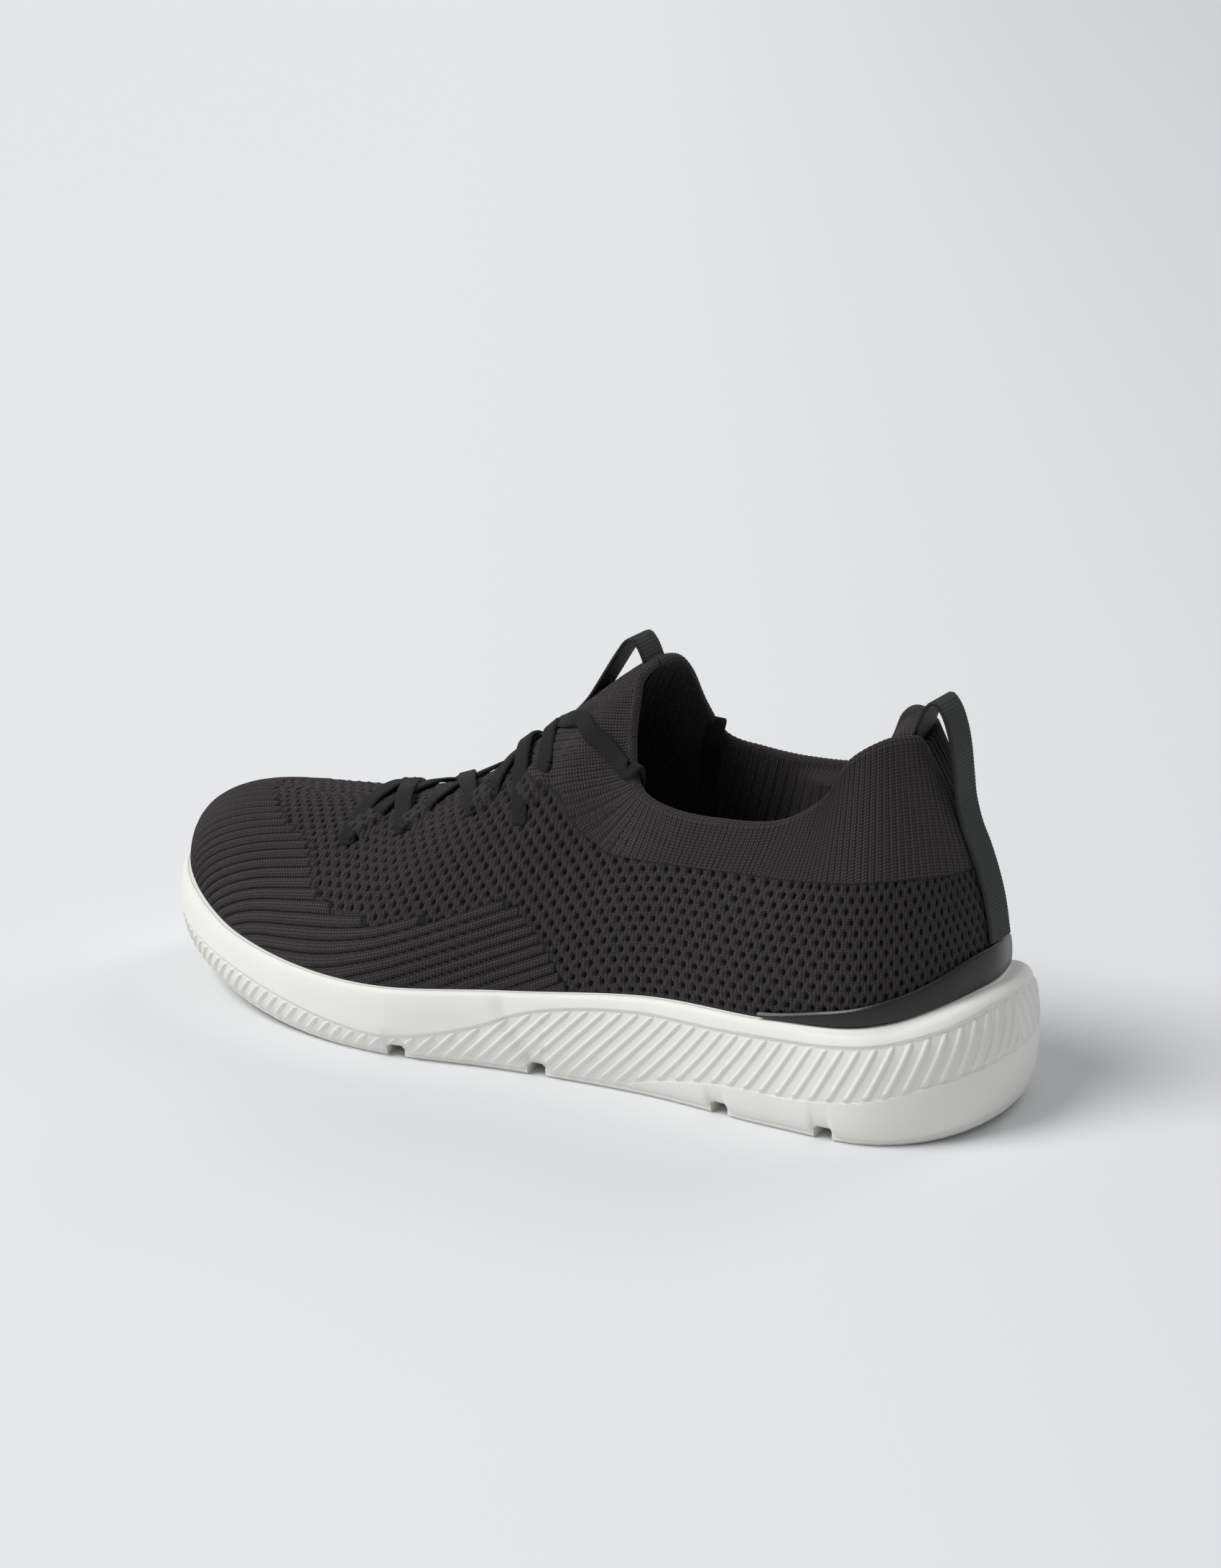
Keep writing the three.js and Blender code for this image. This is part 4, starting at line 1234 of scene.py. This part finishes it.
@dataclass
class Sole:
    """The foam midsole's wall, its underside and the pieces laid on it inside the shoe."""

    last: Last
    finishes: Finishes
    columns: int = 2400
    tread_inset: float = 3.0
    rib_pitch: float = 5.0
    groove_width: float = 6.4
    recess: float = 0.55
    rib_height: float = 0.6
    scoop_depth: float = 0.95
    scoop_half: float = 2.6
    scoop_from: tuple = (139.0, 2.0)
    scoop_to: tuple = (152.0, 27.0)
    grooves: tuple = ((42.0, 0.0), (77.0, 0.0), (143.6, 6.0), (192.0, 9.0))
    upper_line: tuple = (
        (-2, 40), (11, 35), (29, 31), (77, 28), (107, 27), (138, 22), (160, 13.5), (184, 8),
        (200, 8.5), (225, 12), (245, 15), (270, 18), (298, 21),
    )
    lower_line: tuple = (
        (-1, 22), (10, 19), (29, 14), (53, 11), (76, 10), (102, 5), (115, 0), (160, -6), (300, 4),
    )
    low_inset: tuple = ((0, 1.35), (0.04, 0.8), (0.12, 0.4), (0.28, 0.1), (0.45, 0))
    high_inset: tuple = ((0.45, 0), (0.6, 0.02), (0.75, 0.1), (0.88, 0.3), (0.95, 0.55), (1, 1))

    def _groove(self, x: Array, y: Array) -> Array:
        """1 in the grooves that cross the underside, 0 away from them."""
        cut, half = np.zeros_like(x), self.groove_width / 2
        for at, skew in self.grooves:
            middle = at - math.tan(math.radians(skew)) * y
            cut = np.maximum(cut, ramp(half + 1.2, half - 1.2, np.abs(x - middle)))
        return cut

    def build(self, shop: Workshop) -> None:
        """Makes the wall in quarters, and the underside."""
        w, share = np.meshgrid(
            np.linspace(0, 1, self.columns + 1),
            np.concatenate([np.linspace(0, 0.08, 9), np.linspace(0.095, 0.93, 62),
                            np.linspace(0.94, 1, 13)]),
        )
        u = self.last.u_of(w)
        low, high = along(self.low_inset)(share), along(self.high_inset)(share)
        inset = low * self.tread_inset + high * (self.last.foot_inset(u) - self.last.ledge)
        plan = self.last.plan_at(w, inset)
        x, y = plan[..., 0], plan[..., 1]
        bottom = self.last.ground_z(x) + 1.2 + 2.4 * self._groove(x, y)
        top = self.last.feather_z(x) - 0.3
        z = mix(bottom, top, share)
        run = self.last.run_at(w)
        raised, painted_shade_mask = self._wall_relief(x, y, z, run, share)
        out = unit(plan - self.last.plan_at(w, inset + 2.0))
        points = np.concatenate([plan + out * raised[..., None], z[..., None]], -1)
        ledge = self.last.plan_at(w[:2], np.stack([inset[-1] + 2.2, inset[-1] + 5.0]))
        ledge_z = self.last.feather_z(x[-1]) - np.array([[0.35], [0.5]])
        points = np.concatenate([points, np.concatenate([ledge, ledge_z[..., None]], -1)])
        painted_shade_mask = np.concatenate([painted_shade_mask, np.zeros_like(ledge_z)])
        away = np.concatenate([out, np.zeros_like(out[..., :1])], -1)
        normal = facing(points, away, ring=True)
        whole = Patch(points, np.stack([np.vstack([run, run[:2]]), points[..., 2]], -1),
                      {"painted_shade_mask": painted_shade_mask}, normal)
        shop.quarters(whole, self.finishes.foam, "sole_wall",
                      (("midsole_rear",), ("midsole_toe",), (), ()))
        self._close_underside(shop, points[0])
        self._lay_insole(shop)

    def _wall_relief(self, x: Array, y: Array, z: Array, run: Array, share: Array) -> tuple:
        """How far the wall stands out, and how much painted shade it gets in its recessed panel between the
        ribs and in its scoop.
        """
        upper, lower = along(self.upper_line)(x), along(self.lower_line)(x)
        panel = ramp(0, 0.9, upper - z) * ramp(0, 0.9, z - lower)
        inner = ramp(0.7, 1.9, upper - z) * ramp(0.7, 1.9, z - lower)
        slope = mix(0.49, 1.0, ramp(40, 150, run))
        phase = (run + slope * (z - 20)) / self.rib_pitch
        off = np.abs(phase - np.floor(phase) - 0.5) * self.rib_pitch
        rib = ramp(1.15, 0.25, off)
        raised = (-self.recess * panel + self.rib_height * inner * rib) * ramp(0, 0.05, share)
        line = np.exp(-(((z - upper) / 0.45) ** 2)) + np.exp(-(((z - lower) / 0.45) ** 2))
        outer = y > 0
        start, end = np.array(self.scoop_from), np.array(self.scoop_to)
        ahead = unit(end - start)
        away = np.stack([x, z], -1) - start
        down = away @ ahead
        aside = np.abs(away @ np.array((-ahead[1], ahead[0])))
        scoop = np.exp(-((aside / self.scoop_half) ** 2)) * ramp(30, 20, down) * ramp(-2, 2, down) * outer
        raised = raised - self.scoop_depth * scoop - 0.12 * line * panel
        # painted shade: darker foam in the recessed panel between the ribs and in the scoop
        painted_shade_mask = 0.5 * panel * (1 - rib) * ramp(0.02, 0.1, share) + 0.4 * scoop
        return raised, np.clip(painted_shade_mask, 0, 1)

    def _close_underside(self, shop: Workshop, edge: Array) -> None:
        """The underside that shows between the treads, from edge to edge."""
        half = self.columns // 2
        outer, inner = edge[: half + 1 : 3], edge[::-1][: half + 1 : 3]
        across = np.linspace(0, 1, 40)[:, None, None]
        points = mix(outer[None], inner[None], across)
        x, y = points[..., 0], points[..., 1]
        rise = ramp(0, 0.05, across[..., 0]) * ramp(1, 0.95, across[..., 0])
        floor = self.last.ground_z(x) + 2.0 + 1.6 * self._groove(x, y)
        points[..., 2] = mix(points[..., 2], floor, rise)
        patch = Patch(points, points[..., :2].copy(), {"painted_shade_mask": np.zeros_like(x)},
                      np.broadcast_to((0.0, 0.0, -1.0), points.shape).copy())
        shop.lay("sole_underside", patch, self.finishes.foam, weld=True)

    def _lay_insole(self, shop: Workshop) -> None:
        """The board, the foam and the knitted cover inside the shoe."""
        layers = (
            ("lasting_board_bent", 3.1, 0.3, 1.2, 0.2, self.finishes.board, "board", "lasting_board"),
            ("insole_foam_bent", 5.6, 1.8, 4.5, 0.8, self.finishes.padding, "padding", "insole_foam"),
            ("insole_cover_bent", 5.2, 6.6, 0.8, 0.4, self.finishes.lining, "lining", "insole_cover"),
        )
        inward = (1, 0.6, 0.25, 0.06, 0)
        rise = (0, 0.3, 0.7, 1)
        steps = [(t, 0) for t in inward] + [(0, t) for t in rise[1:-1]] + [(t, 1) for t in inward[::-1]]
        w = np.linspace(0, 1, 361)
        for name, inset, low, thick, edge, material, slot, node in layers:
            base = self.last.foot_inset(self.last.u_of(w)) + inset
            spine = self.last.plan_at(w, base)
            spine = np.stack([np.clip(spine[:, 0], 38, 262), np.zeros_like(w)], -1)
            rings = []
            for toward, t in steps:
                rounded = edge if toward == 0 and t in (0, 1) else 0
                ring = mix(self.last.plan_at(w, base + rounded), spine, toward)
                height = self.last.feather_z(ring[:, :1]) + low + t * thick
                rings.append(np.concatenate([ring, height], -1))
            points = np.array(rings)
            # painted shade, even over each layer; only the cover's material reads it
            marks = {"painted_shade_mask": np.full(points.shape[:2], 0.2)}
            patch = Patch(points, points[..., :2] / 1.2, marks)
            piece = shop.lay(name, patch, material, replaces=(node,), weld=True, cap=True)
            slot == "padding"


# ---- what is sewn on it


@dataclass
class Trim:
    """The band round the heel, the two webbings and the lace."""

    last: Last
    surface: Surface
    finishes: Finishes
    low_lift: float = 1.15
    high_lift: float = 2.75
    lace_width: float = 5.6
    tuck_u: float = 0.459
    lace_thickness: float = 1.3
    tape_thickness: float = 1.25
    foxing_thickness: float = 1.5
    knot: tuple = (155.5, 0.0)
    foxing_top: tuple = ((0, 0.125), (0.1, 0.085), (0.2, 0.05), (0.262, 0.02))
    to_mouth: tuple = ((0.56, 0.7), (0.54, 0.67), (0.52, 0.72), (0.5, 0.8), (0.48, 0.9), (0.464, 0.975))
    in_mouth: tuple = (
        (0.458, 0.955, 4.25), (0.454, 0.86, 4.05), (0.448, 0.74, 4.45), (0.442, 0.6, 6.75),
    )
    heel_path: tuple = (
        (20.7, 93), (21.5, 98.7), (22.1, 103.8), (22.7, 108.4), (23.9, 114), (26.3, 120),
        (28.9, 122.6), (31.4, 120.9), (33.4, 116.8), (34.9, 112.4), (36.4, 107.8),
        (37.2, 103.5), (37.0, 99.5),
    )
    tongue_path: tuple = (
        (151.0, 99.4), (147.4, 102.6), (143.4, 107.0), (140.6, 111.2), (137, 117),
        (133.5, 122.5), (130.4, 126.6),
        (128.3, 127.4), (126.4, 125.6), (124.9, 122.9), (124.0, 120.6),
    )

    def build(self, shop: Workshop) -> None:
        """Makes every piece of the trim."""
        self._foxing(shop)
        self._webbing(shop)
        self._lace(shop)

    def _foxing(self, shop: Workshop) -> None:
        """The leather band round the foot of the heel, with a rounded top edge."""
        w = np.linspace(-0.131, 0.131, 401)
        top, thick = along(self.foxing_top)(self.last.u_of(w)), self.foxing_thickness
        flat = [(mix(0.008, top, t), thick + 0.35 * math.sin(math.pi * t) ** 0.5, 0.0)
                for t in np.linspace(0, 1, 26)[:-1]]
        flat.append((top, thick, 0.0))
        turned = []
        for angle in np.linspace(0.3, math.pi, 7):
            lift = thick * (1 + math.cos(angle)) / 2
            turned.append((top, lift, 0.55 * math.sin(lift / thick * math.pi)))
        rows = flat + turned
        points = []
        for v, lift, raised in rows:
            line = self.last.skin(w, v, np.full_like(w, -lift))
            line[:, 2] += raised
            points.append(line)
        points = np.array(points)
        uv = np.stack([np.broadcast_to(w * 700, points.shape[:2]), points[..., 2]], -1)
        out = self.last.normal(*np.broadcast_arrays(w[None], np.full((len(rows), 1), 0.1)))
        shop.lay("heel_foxing_band", Patch(points, uv, {}, facing(points, out)), self.finishes.leather,
                 REAR, ("heel_foxing",))

    def _webbing(self, shop: Workshop) -> None:
        """The two loops of webbing, at the heel and at the front of the mouth."""
        up = np.array((0.14, 0.27, 0.38, 0.49, 0.58))
        sewn = self.last.skin(np.full(5, -0.006), up, np.full(5, -self.tape_thickness))
        heel = np.concatenate([sewn[:, (0, 2)], self.heel_path])
        for name, path, width, nodes in (
            ("heel_pull_webbing", heel, 13.0, ("heel_tab_strap", "heel_tab_loop")),
            ("tongue_pull_webbing", np.array(self.tongue_path), 12.0, ("tongue_tab",)),
        ):
            spots = np.stack([path[:, 0], np.zeros(len(path)), path[:, 1]], -1)
            stops = through(spots, int(round(len(path) * 44)))
            ahead = unit(np.gradient(stops, axis=0))
            faces = np.stack([ahead[:, 2], np.zeros(len(stops)), -ahead[:, 0]], -1)
            faces = -faces if faces[0, 0] > 0 else faces
            mesh = shop.tape(name, stops, faces, width, self.tape_thickness, ribs=(0.16, 1.1))
            piece = shop.piece(name, mesh)
            shop.dress(piece, self.finishes.tape, REAR, nodes)
            if len(nodes) > 1:
                self._let_loop_bend(piece)

    def _let_loop_bend(self, piece: Object) -> None:
        """Takes the heel webbing off its body and bakes its transform into its mesh."""
        piece.parent = None
        del piece["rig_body"]
        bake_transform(piece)

    def _across(self, a: Sequence[float], b: Sequence[float], lift: float) -> tuple[Array, Array]:
        """A strand from one tunnel's end to another's, raised in the middle."""
        spots = []
        for t in (-0.06, 0, 0.17, 0.34, 0.5, 0.66, 0.83, 1, 1.06):
            rise = mix(self.low_lift, lift, math.sin(math.pi * min(max(t, 0), 1)))
            dive = 1.3 if t in (-0.06, 1.06) else 0
            spots.append(self.surface.on_top(mix(a[0], b[0], t), mix(a[1], b[1], t), rise - dive))
        return tuple(np.array(column) for column in zip(*spots))

    def _through(self, ends: tuple) -> tuple[Array, Array]:
        """A strand inside a tunnel."""
        (ax, ay), (bx, by) = ends
        spots = [self.surface.on_top(mix(ax, bx, t), mix(ay, by, t), self.low_lift)
                 for t in (-0.12, 0, 0.5, 1, 1.12)]
        return tuple(np.array(column) for column in zip(*spots))

    def _top(self, side: Side) -> tuple[Array, Array]:
        """A strand from the last tunnel over the front of the mouth and down inside."""
        last = self.last
        start = TUNNELS[Side.INNER if side is Side.OUTER else Side.OUTER][-1][1]
        spots = [self.surface.on_top(*start, self.low_lift)]
        half = mix(np.array(start), np.array(self.knot), 0.5)
        spots.append(self.surface.on_top(*half, self.low_lift + 0.3))
        over = side is Side.OUTER
        spots.append(self.surface.on_top(*self.knot, self.high_lift if over else self.low_lift))
        for u, v in self.to_mouth:
            w = last.w_of(u, side)
            spots.append((last.skin(w, v, np.array(-self.low_lift)), last.normal(w, v)))
        w = last.w_of(self.tuck_u, side)
        out = last.normal(w, 0.95)
        up = unit(last.skin(w, 1.0, np.array(0.0)) - last.skin(w, 0.94, np.array(0.0)))
        spots.append((last.skin(w, 1.0, np.array(1.3)) + up * (self.low_lift + 1.15), up))
        for u, v, depth in self.in_mouth:
            w = last.w_of(u, side)
            spots.append((last.skin(w, v, np.array(depth)), -out))
        return tuple(np.array(column) for column in zip(*spots))

    def _lace(self, shop: Workshop) -> None:
        """The lace, through its tunnels and over the front of the mouth."""
        outer, inner = TUNNELS[Side.OUTER], TUNNELS[Side.INNER]
        strands = [self._through(ends) for ends in outer + inner]
        strands.append(self._across(outer[0][0], inner[0][0], self.low_lift + 0.4))
        for i in range(len(outer) - 1):
            strands.append(self._across(outer[i][1], inner[i + 1][0], self.low_lift))
            strands.append(self._across(inner[i][1], outer[i + 1][0], self.high_lift))
        strands += [self._top(side) for side in Side]
        meshes = []
        for k, (spots, faces) in enumerate(strands):
            length = np.sum(np.linalg.norm(np.diff(spots, axis=0), axis=1))
            both = through(np.concatenate([spots, faces * 6], 1), max(8, int(length / 0.9)))
            meshes.append(shop.tape(f"strand_{k}", both[:, :3], unit(both[:, 3:]), self.lace_width,
                                    self.lace_thickness))
        piece = shop.piece("lace_woven", *meshes)
        shop.dress(piece, self.finishes.lace, replaces=("lace",))


# ---- studio


@dataclass
class Studio:
    """The floor, the lights and the camera."""

    eye: tuple = (-0.6294, 1.0715, 0.4708)
    look_at: tuple = (0.05262, -0.10975, 0.040)
    lens: float = 98.9
    key: tuple = ((0.85, 0.95, 1.6), 32, 2.35)
    rim: tuple = ((-0.3, -1.2, 1.0), 30, 0.5)
    sky: float = 0.34
    floor_near: tuple = (0.80, 0.805, 0.815, 1)
    floor_far: tuple = (0.62, 0.625, 0.635, 1)

    def build(self) -> None:
        """Makes the studio."""
        self._lay_floor()
        self._light("key", *self.key)
        self._light("rim", *self.rim)
        world = bpy.data.worlds.new("room")
        world.use_nodes = True
        sky = world.node_tree.nodes["Background"]
        sky.inputs["Color"].default_value = (0.96, 0.98, 1, 1)
        sky.inputs["Strength"].default_value = self.sky
        bpy.context.scene.world = world
        bpy.context.scene.view_settings.view_transform = "Standard"
        self._place_camera()

    def _lay_floor(self) -> None:
        """A pale floor, a little darker away from the key light."""
        bm = bmesh.new()
        bmesh.ops.create_grid(bm, x_segments=1, y_segments=1, size=14)
        mesh = bpy.data.meshes.new("floor")
        bm.to_mesh(mesh)
        bm.free()
        material = bpy.data.materials.new("floor_paper")
        material.use_nodes = True
        nodes = Nodes(material.node_tree)
        x, y, _ = nodes.parts(nodes.add("TexCoord").outputs["Object"])
        fall = nodes.add("MapRange", {"interpolation_type": "SMOOTHSTEP"}, Value=x * -0.87 - y * 0.5,
                         From_Min=-0.12, From_Max=0.62)
        colour = nodes.blend(fall.outputs[0], self.floor_near, self.floor_far)
        shader = nodes.add("BsdfPrincipled", Base_Color=colour, Roughness=0.8,
                           Specular_IOR_Level=0.25)
        nodes.add("OutputMaterial", Surface=shader.outputs[0])
        mesh.materials.append(material)
        floor = bpy.data.objects.new("floor", mesh)
        bpy.context.scene.collection.objects.link(floor)
        floor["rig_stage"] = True

    def _place_camera(self) -> None:
        """The camera, looking at the shoe from behind its outer side."""
        camera = bpy.data.cameras.new("camera")
        camera.lens = self.lens
        camera.sensor_width = 36
        camera.sensor_fit = "AUTO"
        camera.clip_end = 60
        eye = bpy.data.objects.new("camera", camera)
        self._aim(eye, self.eye, self.look_at)
        bpy.context.scene.collection.objects.link(eye)
        bpy.context.scene.camera = eye

    def _aim(self, item: Object, at: Sequence[float], to: Sequence[float]) -> None:
        """Puts an object at a point, looking to another."""
        item.location = at
        item.rotation_euler = (Vector(to) - Vector(at)).to_track_quat("-Z", "Y").to_euler()

    def _light(self, name: str, at: tuple, spread: float, strength: float) -> None:
        """A soft light that comes from a point's direction, spread over some degrees."""
        light = bpy.data.lights.new(name, "SUN")
        light.angle = math.radians(spread)
        light.energy = strength
        lamp = bpy.data.objects.new(name, light)
        self._aim(lamp, at, (0, 0, 0.04))
        bpy.context.scene.collection.objects.link(lamp)


# ---- all of it


def paint_cad(finishes: Finishes) -> None:
    """Gives the CAD nodes that stay in view their materials."""
    chosen = {
        "heel_counter": finishes.board, "toe_puff": finishes.board,
        "collar_padding": finishes.padding, "aglet_outer": finishes.plastic,
        "aglet_inner": finishes.plastic,
    }
    for part in ("heel_back", "heel_front", "midfoot", "ball", "toe"):
        chosen[f"tread_{part}"] = finishes.rubber
    for name, material in chosen.items():
        node = bpy.data.objects[name]
        node.data.materials.clear()
        node.data.materials.append(material)


def main() -> None:
    """Builds the shoe and its studio."""
    logging.basicConfig(level=logging.INFO, format="%(name)s: %(message)s")
    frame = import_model()
    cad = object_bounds()
    LOG.info("the CAD model spans %s to %s", *cad)
    last = Last()
    place = Place.of_frame(cad[0], frame["joints"])
    surface = Surface(last)
    finishes = Finishes(Palette())
    shop = Workshop(place, Bend(place, last))
    upper = Upper(last, surface, finishes, *(((1536, 176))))
    upper.build(shop)
    Sole(last, finishes, columns=2400).build(shop)
    Trim(last, surface, finishes).build(shop)
    paint_cad(finishes)
    Studio().build()


if __name__ == "__main__":
    main()
